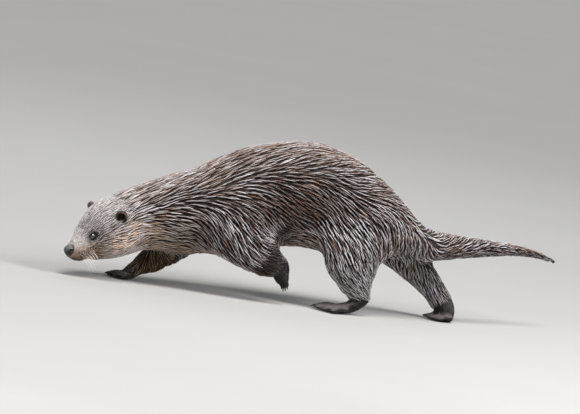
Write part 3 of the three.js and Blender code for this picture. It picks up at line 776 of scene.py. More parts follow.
def painted_highlight_share():
    """How much painted highlight the wet coat's tips take: most along the back, the rump and the thighs,
    and where the skin faces up.
    """
    along, up = SKIN_POINTS[:, 0], SKIN_NORMALS[:, 2]
    neck = soft_share("neck")
    painted_sheen = 0.52 + 0.16 * smoothstep(-0.15, 0.75, up)
    painted_sheen += 0.80 * smoothstep(30.0, 125.0, along) * soft_share("loin")
    painted_sheen += 0.70 * soft_share("thigh") + 0.35 * soft_share("upper_arm") + 0.12 * neck
    painted_sheen += 0.45 * soft_share("tail") * smoothstep(-0.6, 0.3, up) * falling(270.0, 330.0, along)
    painted_sheen += 0.45 * soft_share("shank") + 0.50 * soft_share("head") - 0.50 * soft_share("forearm")
    painted_sheen -= 0.30 * neck * smoothstep(0.1, -0.6, up)
    painted_sheen -= 0.40 * blob(SKIN_POINTS, (-90.0, -100.0, 160.0), (60.0, 60.0, 30.0))
    return np.clip(painted_sheen * (0.8 + 0.35 * noise(SKIN_POINTS, 30.0, 21)), 0.0, 1.2)


def bareness():
    """How far the skin and the locks' edges keep their own colour, from 0 to 1; where it is low, they
    carry painted shade.
    """
    head = belongs(SKIN_OWNERS, "head")
    face = falling(24.0, 50.0, SKIN_PLACES[:, 0]) * head
    crown = 0.35 * smoothstep(4.0, 20.0, SKIN_PLACES[:, 1]) * head
    return np.maximum.reduce([face, crown, 0.7 * soft_share("paw", "foot")])


SKIN_COLOURS = eye_markings_and_crease_shade(head_markings_and_groove_shade(body_markings_and_painted_light()))
SKIN_BARE = bareness()
# How much painted highlight the coat takes at each vertex.
SKIN_HIGHLIGHT_SHARE = painted_highlight_share()

# ---- materials


class Nodes:
    """A short way to lay out a material's node tree."""

    def __init__(self, name):
        """A new material with its shader."""
        self.material = bpy.data.materials.new(name)
        self.material.use_nodes = True
        self.tree = self.material.node_tree
        self.shader = self.tree.nodes["Principled BSDF"]

    def add(self, kind, inputs=None, **settings):
        """A node with these settings and inputs; an input may be another node's output."""
        node = self.tree.nodes.new(kind)
        for key, value in settings.items():
            setattr(node, key, value)
        for key, value in (inputs or {}).items():
            self.put(node.inputs[key], value)
        return node

    def put(self, socket, value):
        """Sets or links a socket."""
        if isinstance(value, bpy.types.NodeSocket):
            self.tree.links.new(value, socket)
        else:
            socket.default_value = value

    def tint(self):
        """The colour that the vertices carry."""
        return self.add("ShaderNodeAttribute", attribute_name="tint").outputs["Color"]

    def texture(self, kind, output, inputs, **settings):
        """A texture on the piece's own coordinates."""
        where = self.add("ShaderNodeTexCoord").outputs["Object"]
        return self.add(kind, {"Vector": where, **inputs}, **settings).outputs[output]

    def cloud(self, scale, detail):
        """Noise from 0 to 1."""
        return self.texture("ShaderNodeTexNoise", "Fac", {"Scale": scale, "Detail": detail})

    def spread(self, value, low, high):
        """A value from 0 to 1, stretched from low to high."""
        inputs = {"Value": value, "To Min": low, "To Max": high}
        return self.add("ShaderNodeMapRange", inputs).outputs["Result"]

    def shaded(self, value, low, high):
        """The vertices' colour, made darker or lighter from place to place."""
        inputs = {0: self.tint(), "Scale": self.spread(value, low, high)}
        return self.add("ShaderNodeVectorMath", inputs, operation="SCALE").outputs["Vector"]

    def blended(self, value, first, second):
        """A colour between two."""
        inputs = {"Factor": value, 6: (*first, 1.0), 7: (*second, 1.0)}
        return self.add("ShaderNodeMix", inputs, data_type="RGBA").outputs[2]

    def bump(self, height, strength, distance):
        """A normal from a height."""
        inputs = {"Height": height, "Strength": strength, "Distance": distance}
        return self.add("ShaderNodeBump", inputs).outputs["Normal"]

    def surface(self, **inputs):
        """Sets the shader's sockets and gives the finished material."""
        for key, value in inputs.items():
            self.put(self.shader.inputs[key.replace("_", " ")], value)
        return self.material


def coat_material(name, roughness, coat):
    """Damp hair: the markings, finer shade from strand to strand, and a wet gloss."""
    nodes = Nodes(name)
    fine = nodes.cloud(900.0, 3.0)
    return nodes.surface(
        Base_Color=nodes.shaded(fine, 0.72, 1.28),
        Roughness=nodes.spread(fine, roughness * 0.8, roughness * 1.25),
        Specular_IOR_Level=0.22,
        Coat_Weight=coat,
        Coat_Roughness=0.13,
        Normal=nodes.bump(fine, 0.35, 0.0006),
    )


def skin_material():
    """The short close hair between the locks, and the bare-looking face and soles."""
    nodes = Nodes("skin")
    fine = nodes.cloud(1100.0, 4.0)
    pores = nodes.texture("ShaderNodeTexVoronoi", "Distance", {"Scale": 750.0})
    height = nodes.add("ShaderNodeMath", {0: fine, 1: pores}, operation="ADD").outputs[0]
    return nodes.surface(
        Base_Color=nodes.shaded(fine, 0.55, 1.25),
        Roughness=0.75,
        Specular_IOR_Level=0.25,
        Normal=nodes.bump(height, 0.5, 0.0005),
    )


def nose_material():
    """Wet, pebbled leather."""
    nodes = Nodes("nose")
    cells = nodes.texture("ShaderNodeTexVoronoi", "Distance", {"Scale": 900.0}, feature="SMOOTH_F1")
    return nodes.surface(
        Base_Color=nodes.shaded(nodes.cloud(240.0, 4.0), 0.6, 1.4),
        Roughness=0.34,
        Specular_IOR_Level=0.3,
        Coat_Weight=0.25,
        Coat_Roughness=0.14,
        Normal=nodes.bump(cells, 0.4, 0.0005),
    )


def eye_material():
    """A near-black wet eye."""
    nodes = Nodes("eye")
    return nodes.surface(
        Base_Color=nodes.tint(),
        Roughness=0.08,
        Specular_IOR_Level=0.7,
        Coat_Weight=1.0,
        Coat_Roughness=0.02,
    )


def claw_material():
    """Dark horn with fine growth lines."""
    nodes = Nodes("claw")
    bands = nodes.cloud(700.0, 3.0)
    return nodes.surface(
        Base_Color=nodes.blended(bands, linear(18, 15, 14), linear(34, 29, 26)),
        Roughness=0.6,
        Specular_IOR_Level=0.3,
        Normal=nodes.bump(bands, 0.15, 0.0002),
    )


def whisker_material():
    """Stiff pale whiskers, darker at the root."""
    nodes = Nodes("whisker")
    return nodes.surface(Base_Color=nodes.tint(), Roughness=0.35, Specular_IOR_Level=0.6)


def floor_material():
    """A plain pale floor, very slightly uneven in tone."""
    nodes = Nodes("floor")
    tone = nodes.blended(nodes.cloud(3.0, 3.0), (0.355, 0.35, 0.34), (0.385, 0.38, 0.37))
    return nodes.surface(Base_Color=tone, Roughness=0.75)


COAT = coat_material("coat", 0.26, 0.2)
SKIN_MATERIAL = skin_material()
EYE_MATERIAL = eye_material()
NOSE_MATERIAL = nose_material()
CLAW_MATERIAL = claw_material()
WHISKER_MATERIAL = whisker_material()
EAR_MATERIAL = coat_material("ear", 0.75, 0.0)

# ---- the skin as a piece


def unwrap(piece):
    """Lays the skin out flat and returns each triangle's corners on that layout."""
    piece.data.uv_layers.new(name="OFBake")
    bpy.context.view_layer.objects.active = piece
    piece.select_set(True)
    bpy.ops.object.mode_set(mode="EDIT")
    bpy.ops.mesh.select_all(action="SELECT")
    bpy.ops.uv.smart_project(angle_limit=math.radians(66.0), island_margin=0.002)
    bpy.ops.object.mode_set(mode="OBJECT")
    piece.select_set(False)
    flat = np.empty(len(piece.data.loops) * 2, np.float32)
    piece.data.uv_layers["OFBake"].data.foreach_get("uv", flat)
    return flat.reshape(-1, 3, 2)


def make_skin_piece():
    """The one skin that stands for all the flesh."""
    piece = new_mesh("skin", SKIN_POINTS, SKIN_FACES)
    # The skin is painted far darker where the coat covers it: painted shade in the gaps between the locks.
    set_colours(piece, SKIN_COLOURS * (0.10 + 0.75 * SKIN_BARE)[:, None])
    layout = unwrap(piece)
    add_piece(piece, SKIN_MATERIAL, FLESH)
    return layout


SKIN_LAYOUT = make_skin_piece()

# ---- what each face of the skin asks of the coat

SKIN_TREE = tree_of(SKIN_POINTS, SKIN_FACES)
FACE_AREAS = np.linalg.norm(face_normals(SKIN_POINTS, SKIN_FACES), axis=1) / 2
FACE_NORMALS = unit(face_normals(SKIN_POINTS, SKIN_FACES))
FACE_FLOW = unit(SKIN_FLOW[SKIN_FACES].mean(1))
FACE_SOFT_NORMALS = unit(SKIN_NORMALS[SKIN_FACES].mean(1))
FACE_OWNERS = SKIN_OWNERS[SKIN_FACES[:, 0]]
FACE_MIDDLES = SKIN_POINTS[SKIN_FACES].mean(1)
FACE_DEPTH, FACE_LENGTH, FACE_WIDTH, FACE_SPACE = (
    stretch_values(SKIN_POINTS, SKIN_EDGES, kind)[SKIN_FACES].mean(1) for kind in KINDS[1:5]
)

PAD_BARE = 11.5         # no locks this near the nose pad's middle
EYE_BARE = 2.6          # nor this near an eyeball
SOLE_HIGH = 4.0         # nor on what faces down below this height
FEW_LOCKS = 0.06        # how many of the usual locks the whisker pads have


def coat_plan():
    """Each face's lock size, share of the usual locks and spacing: less coat towards the nose and eyes."""
    back, rise, _ = head_place(FACE_MIDDLES).T
    head = belongs(FACE_OWNERS, "head")
    near_eye = eye_distance(FACE_MIDDLES)
    muzzle = np.where(head, falling(18.0, 84.0, back), 0.0)
    crown = head * smoothstep(-2.0, 20.0, rise)
    by_eye = falling(7.0, 18.0, near_eye) * head
    size = (1.0 - 0.78 * muzzle) * (1.0 - 0.55 * by_eye) * (1.0 - 0.30 * crown)
    bare = head & (np.linalg.norm(FACE_MIDDLES - PAD, axis=1) < PAD_BARE)
    bare |= near_eye < EYE_RADIUS + EYE_BARE
    bare |= (FACE_MIDDLES[:, 2] < SOLE_HIGH) & (FACE_NORMALS[:, 2] < -0.3)
    whisker_pad = head & (back < 41.0) & (rise < -3.0)
    keep = np.where(bare, 0.0, np.where(whisker_pad, FEW_LOCKS, 1.0))
    return size, keep, np.where(head, FACE_SPACE * (0.34 + 0.66 * size), FACE_SPACE)


FACE_SIZE, FACE_KEEP, FACE_SPACING = coat_plan()
TOP_CALM = smoothstep(0.35, 0.9, FACE_SOFT_NORMALS[:, 2])      # smoother coat along the back

# ---- where the locks root and how they lie

STRIDE = 1.6            # a lock's room along the coat, for each unit of room across it
CROWDING = 1.08         # how near two roots may come, as a share of that room
SETTLE_ROUNDS = 12
SETTLE_STEP = 0.35
NEIGHBOURS = 9
WINDING_CELL = 4.0
WINDING_BITS = 9
SHORT_SIZE = 0.55       # locks smaller than this, on the face, are made more simply


def winding_order(points):
    """An order in which near places follow each other, by halving the room again and again."""
    cells = np.floor((points - points.min(0)) / WINDING_CELL).astype(int)
    key = np.zeros(len(points), int)
    for bit in range(WINDING_BITS):
        for axis in range(3):
            key |= ((cells[:, axis] >> bit) & 1) << (3 * bit + axis)
    return np.argsort(key, kind="stable")


def scatter():
    """Places spread evenly over the skin, as many as the coat's spacing asks for."""
    order = winding_order(FACE_MIDDLES)
    wanted = FACE_AREAS * FACE_KEEP / (FACE_SPACING ** 2 * STRIDE)
    whole = np.floor(np.cumsum(wanted[order])).astype(int)
    faces = np.repeat(order, np.diff(whole, prepend=0))
    share = RANDOM.random((len(faces), 2))
    over = share.sum(1) > 1.0
    share[over] = 1.0 - share[over]
    weights = np.column_stack([1.0 - share.sum(1), share])
    return faces, (SKIN_POINTS[SKIN_FACES[faces]] * weights[:, :, None]).sum(1)


def settle(faces, points):
    """Pushes crowded roots apart, so that the locks lie in staggered rows."""
    for _ in range(SETTLE_ROUNDS):
        tree = KDTree(len(points))
        for number, point in enumerate(points):
            tree.insert(point, number)
        tree.balance()
        near = np.array([[found[1] for found in tree.find_n(point, NEIGHBOURS)] for point in points])
        flow = FACE_FLOW[faces]
        side = np.cross(FACE_SOFT_NORMALS[faces], flow)
        room = FACE_SPACING[faces] * CROWDING
        away = points[:, None] - points[near]
        across = (away * side[:, None]).sum(2) / room[:, None]
        along = (away * flow[:, None]).sum(2) / (room * STRIDE)[:, None]
        gap = np.maximum(np.hypot(across, along), 1e-3)
        push = SETTLE_STEP * np.maximum(1.0 - gap, 0.0) / gap
        step = side * ((push * across).sum(1) * room)[:, None]
        step += flow * ((push * along).sum(1) * room * STRIDE)[:, None]
        points, faces = nearest_on(SKIN_TREE, points + step)
    wanted = FACE_KEEP[faces] > 0.0
    return faces[wanted], points[wanted]


def corner_shares(faces, points):
    """How much each corner of its triangle counts towards a point."""
    a, b, c = (SKIN_POINTS[SKIN_FACES[faces, corner]] for corner in range(3))
    whole = np.cross(b - a, c - a)
    size = np.maximum((whole * whole).sum(1), 1e-12)
    second = (np.cross(points - a, c - a) * whole).sum(1) / size
    third = (np.cross(b - a, points - a) * whole).sum(1) / size
    shares = np.clip(np.column_stack([1.0 - second - third, second, third]), 0.0, 1.0)
    return shares / shares.sum(1, keepdims=True)


def walk_lock(faces, points, lengths, angles):
    """A lock's root, middle and tip on the skin with the normals there."""
    spots, normals = [points], [FACE_SOFT_NORMALS[faces]]
    for _ in range(2):
        flow = FACE_FLOW[faces]
        side = np.cross(normals[-1], flow)
        ahead = flow * np.cos(angles)[:, None] + side * np.sin(angles)[:, None]
        points, faces = nearest_on(SKIN_TREE, points + ahead * (lengths * 0.5)[:, None])
        spots.append(points)
        normals.append(FACE_SOFT_NORMALS[faces])
    return np.stack(spots, 1), np.stack(normals, 1)


def grow():
    """Every lock of the coat, rooted and laid over the skin."""
    faces, points = settle(*scatter())
    count, calm, size = len(faces), TOP_CALM[faces], FACE_SIZE[faces]
    angles = (0.06 * noise(points, 26.0, 11) + 0.09 * noise(points, 9.0, 12)) * (1.0 - 0.5 * calm)
    angles += RANDOM.normal(0.0, 0.07, count)
    lengths = FACE_LENGTH[faces] * (0.15 + 0.85 * size) * RANDOM.uniform(0.8, 1.2, count)
    spots, normals = walk_lock(faces, points, lengths, angles)
    proud = 0.55 + 0.45 * RANDOM.random(count)
    shares = corner_shares(faces, points)
    carried = np.column_stack([SKIN_COLOURS, SKIN_BARE, SKIN_HIGHLIGHT_SHARE])
    carried = (carried[SKIN_FACES[faces]] * shares[:, :, None]).sum(1)
    return dict(
        faces=faces,
        shares=shares,
        spots=spots,
        normals=normals,
        heights=FACE_DEPTH[faces] * proud * (0.3 + 0.7 * size) * (1.0 - 0.4 * calm),
        widths=FACE_WIDTH[faces] * (0.28 + 0.72 * size) * RANDOM.uniform(0.8, 1.2, count),
        tones=RANDOM.normal(0.0, 0.22, count),
        base=carried[:, :3],
        bare=carried[:, 3],
        # How much painted highlight each lock's crest takes, from the skin's share and at random.
        painted_sheen=carried[:, 4] * (0.10 + 1.25 * RANDOM.random(count) ** 1.2),
        calm=calm,
        short=(size < SHORT_SIZE) | belongs(FACE_OWNERS[faces], "paw", "foot"),
    )


# ---- the shape and colour of a lock

# Rings along a lock: how far along, and how wide for each unit of the lock's width.
BLADE = ((0.0, 0.7), (0.2, 1.0), (0.45, 0.88), (0.7, 0.54), (0.9, 0.16), (1.0, 0.0))
SHORT_BLADE = ((0.0, 0.8), (0.4, 1.0), (0.75, 0.5), (1.0, 0.0))
STRAND = ((0.04, 0.8), (0.4, 1.0), (0.75, 0.7), (1.0, 0.0))
RIDGE = 0.44            # a lock's crest above its edges, for each unit of its width
LOCK_RISE = 0.25        # the locks' least height over the floor
PATCH = 0.003           # a lock's patch on the unwrap

# Each strand on a lock: its place across the lock, its width as a share of the lock's,
# how much lighter than the coat its crest is painted, and how much painted highlight it takes.
STRANDS = ((0.0, 0.46, 1.6, 1.15), (0.58, 0.17, 1.2, 0.22), (-0.62, 0.13, 1.0, 0.10))

# Each coat piece: the flesh nodes it grows from, its locks' rings and its strands per lock.
COAT_PIECES = {
    "coat_muzzle": (("head",), SHORT_BLADE, 1),
    "coat_head": (("head",), BLADE, 3),
    "coat_neck": (("neck",), BLADE, 3),
    "coat_chest": (("chest",), BLADE, 3),
    "coat_loin": (("loin",), BLADE, 3),
    "coat_tail": (("tail",), BLADE, 3),
    "coat_upper_arms": (("upper_arm",), BLADE, 3),
    "coat_thighs": (("thigh",), BLADE, 3),
    "coat_lower_legs": (("forearm", "shank"), BLADE, 2),
    "coat_feet": (("paw", "foot"), SHORT_BLADE, 0),
}


def along_lock(locks, t):
    """Each lock's centre line at t, with the up and side directions there."""
    root, middle, tip = locks["spots"].transpose(1, 0, 2)
    bend = 2.0 * middle - (root + tip) / 2.0
    centre = (1.0 - t) ** 2 * root + 2.0 * t * (1.0 - t) * bend + t * t * tip
    upward = unit((1.0 - t) * locks["normals"][:, 0] + t * locks["normals"][:, 2])
    ahead = unit((1.0 - t) * (bend - root) + t * (tip - bend))
    return centre, upward, unit(np.cross(upward, ahead))


def rise_at(t):
    """How high a lock stands at t, as a share of its height: rooted, proud, then lying down."""
    return (-0.3 + 1.3 * math.sin(min(t / 0.5, 1.0) * math.pi / 2)) * (1.0 - 0.3 * max(t - 0.6, 0.0) / 0.4)


def blade_points(locks, rings):
    """Three-cornered rings along each lock and one tip: the lock's own shape."""
    made = []
    for t, swell in rings:
        centre, upward, side = along_lock(locks, t)
        top = centre + upward * (locks["heights"] * rise_at(t))[:, None]
        half = (locks["widths"] * swell / 2)[:, None]
        low = top - upward * half * 2.0 * RIDGE
        made += [low - side * half, top, low + side * half] if swell else [top]
    return np.stack(made, 1)


def strand_points(locks, offset, width):
    """Finer rings for one strand on each lock, drawn in to the lock's tip."""
    made = []
    for t, swell in STRAND:
        t = min(t, 0.999)
        centre, upward, side = along_lock(locks, t)
        half_lock = locks["widths"] * np.interp(t, *zip(*BLADE)) / 2 * 0.85
        fall = np.abs(offset) * half_lock * 2.0 * RIDGE
        rise = locks["heights"] * rise_at(t) - fall + 0.10 + 0.12 * width[:, 0]
        top = centre + side * (offset * half_lock)[:, None] + upward * rise[:, None]
        half = width * swell / 2
        ring = [top - side * half - upward * half, top + upward * half * 0.2]
        ring.append(top + side * half - upward * half)
        made += ring if swell else [top]
    return np.stack(made, 1)


def lock_faces(ring_count):
    """Triangles of one lock: its base, its sides and its tip."""
    faces = [(0, 1, 2)]
    for ring in range(ring_count - 1):
        for corner in range(3):
            a = ring * 3 + corner
            b = ring * 3 + (corner + 1) % 3
            faces += [(a, a + 3, b), (b, a + 3, b + 3)]
    last = (ring_count - 1) * 3
    faces += [(last + corner, last + 3, last + (corner + 1) % 3) for corner in range(3)]
    return np.array(faces)


def per_vertex(rings, corners, tip):
    """A value for each vertex of one lock, from those of a ring's corners and of the tip."""
    return np.concatenate([corners if swell else (tip,) for _, swell in rings])


def along_values(rings):
    """Each vertex's place along the lock."""
    return np.concatenate([np.full(3 if swell else 1, t) for t, swell in rings])


def patch_uv(locks, rings, left, right):
    """Places for one lock's vertices in its own small patch of the layout."""
    root = (SKIN_LAYOUT[locks["faces"]] * locks["shares"][:, :, None]).sum(1)
    middle = (left + right) / 2
    across = per_vertex(rings, (left, middle, right), middle)
    offsets = np.column_stack([across - 0.5, along_values(rings) - 0.5]) * PATCH
    return root[:, None, :] + offsets[None]


def tinted(locks, rings, tones, edge, crest, highlight_weight):
    """Colours for one set of locks: painted shade on the edges, roots darker (partly the hair's own
    colour, partly painted shade), and crests with more or less painted highlight.
    """
    # Darker towards the root: partly the hair's own colour, partly painted shade deep in the coat.
    along = 0.45 + 0.65 * along_values(rings)
    # The edges are painted dark, as painted shade between the locks, less so on calm or bare skin.
    soft_edge = edge + np.maximum(0.15 * locks["calm"], 0.75 * locks["bare"])
    on_crest = per_vertex(rings, (0.0, 1.0, 0.0), 1.0)
    base = locks["base"][:, None, :] * np.exp(tones)[:, None, None]
    # Painted highlight along the crest, towards the pale highlight colour.
    lit = highlight_weight * locks["painted_sheen"][:, None] * smoothstep(0.05, 0.4, along_values(rings))[None]
    lit = base * crest + np.minimum(lit, 1.1)[:, :, None] * (PAINTED_HIGHLIGHT - base * crest)
    low = base * soft_edge[:, None, None]
    return (low + on_crest[None, :, None] * (lit - low)) * along[None, :, None]


def as_mesh(points):
    """Points and triangles of a set of locks."""
    count, per_lock = points.shape[:2]
    starts = (np.arange(count) * per_lock)[:, None, None]
    return points.reshape(-1, 3), (lock_faces(per_lock // 3)[None] + starts).reshape(-1, 3)


def coat_piece(name, *sets):
    """One piece of the coat from sets of (points, colours, layout)."""
    points, faces = joined([as_mesh(points) for points, _, _ in sets])
    points[:, 2] = np.maximum(points[:, 2], LOCK_RISE)
    piece = new_mesh(name, points, faces)
    set_colours(piece, np.concatenate([colours.reshape(-1, 3) for _, colours, _ in sets]))
    layout = np.concatenate([layout.reshape(-1, 2) for _, _, layout in sets])
    layer = piece.data.uv_layers.new(name="OFBake")
    layer.data.foreach_set("uv", layout.astype(np.float32)[faces.ravel()].ravel())
    add_piece(piece, COAT)


def strand_set(locks, number):
    """One strand on every lock."""
    count = len(locks["faces"])
    middle, width, crest, highlight_weight = STRANDS[number]
    offset = middle * RANDOM.choice((-1.0, 1.0), count) + RANDOM.uniform(-0.15, 0.15, count)
    swell = width * RANDOM.uniform(0.85, 1.15) * locks["widths"][:, None]
    tones = locks["tones"] + RANDOM.normal(0.0, 0.25, count)
    left = 0.52 + 0.12 * number
    return (
        strand_points(locks, offset, swell),
        # The strand's crest is painted lighter: painted highlight.
        tinted(locks, STRAND, tones, 0.14, crest, highlight_weight),
        patch_uv(locks, STRAND, left, left + 0.1),
    )


def make_coat():
    """Every coat piece."""
    all_locks = grow()
    for name, (words, rings, strands) in COAT_PIECES.items():
        mine = belongs(FACE_OWNERS[all_locks["faces"]], *words)
        mine &= all_locks["short"] == (rings is SHORT_BLADE)
        locks = {key: value[mine] for key, value in all_locks.items()}
        # Near-black painted shade on the blades' edges, a little painted highlight on their crests.
        colours = tinted(locks, rings, locks["tones"], 0.02, 0.60, 0.06)
        blades = (blade_points(locks, rings), colours, patch_uv(locks, rings, 0.0, 0.5))
        coat_piece(name, blades, *[strand_set(locks, number) for number in range(strands)])


make_coat()

# ---- eyes, nose, ears, claws and whiskers


def make_eye(side):
    """An eyeball with a pupil, a dark iris and a slight cornea."""
    points, faces = ball(4)
    facing = points @ eye_axes(side)[0]
    points = points * (EYE_RADIUS - 0.15 + 0.35 * smoothstep(0.80, 0.97, facing))[:, None]
    piece = new_mesh(f"eyeball_{side}", points + EYES[side], faces)
    set_colours(piece, painted(
        plain(linear(26, 21, 20), len(points)),
        (linear(24, 15, 11), smoothstep(0.60, 0.66, facing)),
        (linear(6, 6, 8), smoothstep(0.86, 0.90, facing)),
    ))
    add_piece(piece, EYE_MATERIAL, (f"eye_{side}",))


NOSE_HALF = np.array([7.9, 7.8, 9.6])
NOSTRIL_FRONT = np.array([-4.8, -1.8, 6.8])
NOSTRIL_BACK = np.array([-2.0, 1.6, 8.7])


def nostrils(places):
    """How deep in a comma-shaped nostril each place lies, from 0 to 1: widest at the back."""
    hole = np.zeros(len(places))
    for t in np.linspace(0.0, 1.0, 9):
        spot = NOSTRIL_FRONT + t * (NOSTRIL_BACK - NOSTRIL_FRONT)
        width = 1.5 + 1.9 * t
        hole = np.maximum(hole, (0.5 + 0.5 * t) * blob(folded(places), spot, (width, width * 0.9, 4.0)))
    return hole


def make_nose():
    """The bare pad, with a nostril on each side and a groove below."""
    points, faces = ball(6)
    places = points * NOSE_HALF
    back, rise, side = places.T
    hole = nostrils(places)
    relief = 0.8 * blob(folded(places), (-2.0, 4.6, 6.5), (4.5, 2.2, 3.2)) - 3.0 * hole
    relief -= 0.7 * (ridge(side, 0.7) * falling(-3.0, 1.0, rise)) * (back < 2.0)
    places = places + unit(points / NOSE_HALF) * relief[:, None]
    piece = new_mesh("nose_leather", places @ HEAD_AXES + PAD, faces)
    set_colours(piece, painted(
        plain(linear(28, 24, 24), len(points)),
        # Painted highlight: the top of the pad is painted lighter.
        (linear(98, 97, 104), smoothstep(1.0, 7.5, rise)),
        # Painted shade: the nostrils are painted near black.
        (linear(3, 2, 2), 2.6 * hole),
    ))
    add_piece(piece, NOSE_MATERIAL, ("nose_pad",))


EAR_THICK, EAR_WIDE, EAR_TALL = 4.8, 8.4, 9.6       # half an ear's size
EAR_HOLLOW = 2.4        # the cup's depth behind the ear's middle
EAR_LOCKS = 420         # on each ear


def ear_opening(side):
    """The way an ear opens: outward and forward."""
    return unit(SIGNS[side] * LEFT * 0.72 - BACK * 0.70)


def make_ear(side):
    """A small round ear: a cup that opens forward, with a rolled rim."""
    points, faces = ball(5)
    opening = ear_opening(side)
    width = unit(np.cross(RISE, opening))
    height = np.cross(opening, width)
    axes = np.array([opening, width, height * np.sign(height @ RISE)])
    out, across, tall = points.T
    wide = np.hypot(across, tall)
    cup = falling(0.55, 0.90, wide) * (out > 0)
    depth = out * EAR_THICK + 1.1 * ridge(wide - 0.93, 0.12) * (out > -0.2)
    depth = depth - cup * (out * EAR_THICK + EAR_HOLLOW)
    local = np.column_stack([depth, across * EAR_WIDE, tall * EAR_TALL])
    piece = new_mesh(f"ear_cup_{side}", local @ axes + centre_of(f"ear_{side}"), faces)
    set_colours(piece, painted(
        plain(linear(52, 40, 34), len(points)),
        (linear(78, 56, 44), 0.8 * ridge(wide - 0.95, 0.08) * (out > -0.3)),
        # Painted shade: the inside of the cup is painted near black.
        (linear(9, 6, 5), 1.4 * cup),
    ))
    add_piece(piece, EAR_MATERIAL, (f"ear_{side}",))


def ear_roots(side):
    """Places on the outside and rim of an ear, with the normals there."""
    piece = bpy.data.objects[f"ear_cup_{side}"]
    points = points_of(piece)
    out = vertex_normals(points, np.array([polygon.vertices[:] for polygon in piece.data.polygons]))
    outside = np.flatnonzero((points - points.mean(0)) @ ear_opening(side) < 2.6)
    outside = outside[(out[outside] @ ear_opening(side)) < 0.45]
    picked = RANDOM.choice(outside, EAR_LOCKS, replace=False)
    return points[picked], out[picked]


def ear_locks():
    """Short hair that lies back over both ears."""
    roots, normals = (np.concatenate(both) for both in zip(*[ear_roots(side) for side in SIGNS]))
    count = len(roots)
    flow = BACK * 0.9 + RISE * 0.45 + 0.15 * RANDOM.normal(size=(count, 3))
    flow = unit(laid_flat(flow, normals))
    length = RANDOM.uniform(3.5, 5.5, count)[:, None]
    on_skin, faces = nearest_on(SKIN_TREE, roots)
    inward = normals * 0.15
    middle = roots + flow * length * 0.5 - inward
    return dict(
        faces=faces,
        shares=corner_shares(faces, on_skin),
        spots=np.stack([roots - inward, middle, roots + flow * length - inward * 3.0], 1),
        normals=np.stack([normals] * 3, 1),
        heights=np.full(count, 0.55),
        widths=RANDOM.uniform(0.9, 1.3, count),
        tones=RANDOM.normal(0.0, 0.3, count),
        bare=np.full(count, 0.4),
        base=plain(linear(92, 70, 56), count),
        # Painted highlight on the ear hair's crests.
        painted_sheen=RANDOM.uniform(0.0, 0.5, count),
        calm=np.zeros(count),
    )


def make_ear_hair():
    """The hair on the ears as one piece."""
    locks = ear_locks()
    # Painted shade on the ear hair's edges, some painted highlight on the crests.
    colours = tinted(locks, SHORT_BLADE, locks["tones"], 0.1, 1.0, 0.5)
    layout = patch_uv(locks, SHORT_BLADE, 0.0, 1.0)
    coat_piece("coat_ears", (blade_points(locks, SHORT_BLADE), colours, layout))


def make_claws():
    """The claws, rounded."""
    for name in CLAWS:
        piece = placed(f"{name}_horn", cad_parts[name].data.copy())
        shape = bmesh.new()
        shape.from_mesh(piece.data)
        bmesh.ops.remove_doubles(shape, verts=shape.verts, dist=0.05 * MM)
        for face in shape.faces:
            face.smooth = True
        shape.to_mesh(piece.data)
        shape.free()
        rounder = piece.modifiers.new("rounder", "SUBSURF")
        rounder.levels = 1
        rounder.render_levels = 1
        add_piece(piece, CLAW_MATERIAL, (name,))


WHISKER_STEPS, WHISKER_SIDES = 9, 5
WHISKER_THICK = 0.20
WHISKERS_LEFT_OUT = 0.5     # the share of roots that grow none


def whisker_faces():
    """Triangles of one whisker: its sides and both ends."""
    round_it = [(corner, (corner + 1) % WHISKER_SIDES) for corner in range(WHISKER_SIDES)]
    last, root = (WHISKER_STEPS - 1) * WHISKER_SIDES, WHISKER_STEPS * WHISKER_SIDES
    faces = []
    for start in range(0, last, WHISKER_SIDES):
        above = start + WHISKER_SIDES
        for a, b in round_it:
            faces += [(start + a, start + b, above + a), (start + b, above + b, above + a)]
    for a, b in round_it:
        faces += [(a, root, b), (last + a, last + b, root + 1)]
    return np.array(faces)


def whisker_points(root, direction, length):
    """Rings along one tapering whisker that droops, then the middles of its two ends."""
    t = np.linspace(0.0, 1.0, WHISKER_STEPS)
    droop = np.array([0.0, 0.0, -0.9])
    line = root + direction * (t * length)[:, None] + droop * (t * t * length * 0.45)[:, None]
    line[:, 2] = np.maximum(line[:, 2], 1.0)
    ahead = unit(np.gradient(line, axis=0))
    side = unit(np.cross(ahead, direction + np.array([0.3, 0.2, 0.9])))
    other = np.cross(ahead, side)
    angle = (2 * math.pi * np.arange(WHISKER_SIDES) / WHISKER_SIDES)[None, :, None]
    radius = (WHISKER_THICK * (1.0 - 0.75 * t))[:, None, None]
    rings = line[:, None] + radius * (side[:, None] * np.cos(angle) + other[:, None] * np.sin(angle))
    return np.concatenate([rings.reshape(-1, 3), line[[0, -1]]])


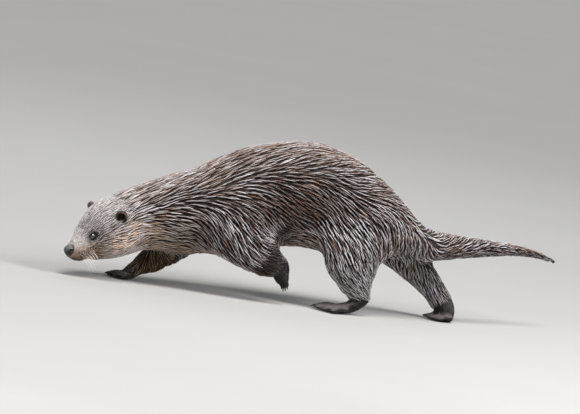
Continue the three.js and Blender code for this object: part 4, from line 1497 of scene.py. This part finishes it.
def make_whiskers():
    """Rows of whiskers that hang from the pads."""
    parts = []
    for sign in SIGNS.values():
        for back, rise in whisker_roots():
            spread = RANDOM.normal(0.0, 0.08, 3)
            length = RANDOM.uniform(14.0, 23.0)
            beside = np.array([back, rise, sign * 40.0]) @ HEAD_AXES + NOSE_TIP
            spot, _, _, _ = SKIN_TREE.ray_cast(Vector(beside), Vector(-sign * LEFT))
            if spot is None or RANDOM.random() < WHISKERS_LEFT_OUT:
                continue
            direction = sign * LEFT * 0.42 - RISE * 0.85 + BACK * 0.22
            points = whisker_points(np.array(spot), unit(direction + spread), length)
            parts.append((points, whisker_faces()))
    piece = new_mesh("whiskers", *joined(parts))
    shade = np.append(np.repeat(np.linspace(0.0, 1.0, WHISKER_STEPS), WHISKER_SIDES), (0.0, 1.0))
    pale = (linear(238, 232, 224), smoothstep(0.0, 0.35, shade))
    colours = painted(plain(linear(120, 100, 84), len(shade)), pale)
    set_colours(piece, np.tile(colours, (len(parts), 1)))
    add_piece(piece, WHISKER_MATERIAL)


for name in EYES:
    make_eye(name)
    make_ear(name)
make_ear_hair()
make_nose()
make_claws()
make_whiskers()

# ---- floor, light and air

FLOOR_HALF = 14000.0
ANIMAL_MIDDLE = Vector((0.0, 0.0, 0.12))
LAMPS = {       # each lamp's place, size, power and colour
    "key": ((1.2, -1.5, 1.6), 1.2, 62.0, (1.0, 0.99, 0.98)),
    "fill": ((-1.6, -2.2, 1.5), 2.0, 42.0, (1.0, 0.98, 0.96)),
    "rim": ((0.9, 1.9, 1.9), 1.6, 14.0, (0.93, 0.96, 1.0)),
}


def make_floor():
    """A wide pale floor that runs off beyond the view."""
    corners = np.array([(-1, -1, 0), (1, -1, 0), (1, 1, 0), (-1, 1, 0)]) * FLOOR_HALF
    floor = new_mesh("floor", corners, [(0, 1, 2, 3)], smooth=False)
    floor.data.materials.append(floor_material())


def new_light(name, kind, power):
    """A light and its data."""
    data = bpy.data.lights.new(name, kind)
    data.energy = power
    return placed(name, data), data


def make_light():
    """Soft square lamps in front and behind, even daylight from above, and a dim world."""
    for name, (place, size, power, colour) in LAMPS.items():
        lamp, data = new_light(name, "AREA", power)
        data.size = size
        data.color = colour
        lamp.location = place
        lamp.rotation_euler = (ANIMAL_MIDDLE - Vector(place)).to_track_quat("-Z", "Y").to_euler()
    sun, data = new_light("daylight", "SUN", 3.2)
    data.angle = math.radians(26.0)
    sun.rotation_euler = (math.radians(22.0), math.radians(-2.0), 0.0)
    world = bpy.data.worlds.new("studio")
    world.use_nodes = True
    air = world.node_tree.nodes["Background"]
    air.inputs["Color"].default_value = (0.96, 0.97, 1.0, 1.0)
    air.inputs["Strength"].default_value = 0.16
    bpy.context.scene.world = world


def make_tones():
    """Plain tones, as a camera gives them."""
    bpy.context.scene.view_settings.view_transform = "Standard"


make_floor()
make_light()
make_tones()
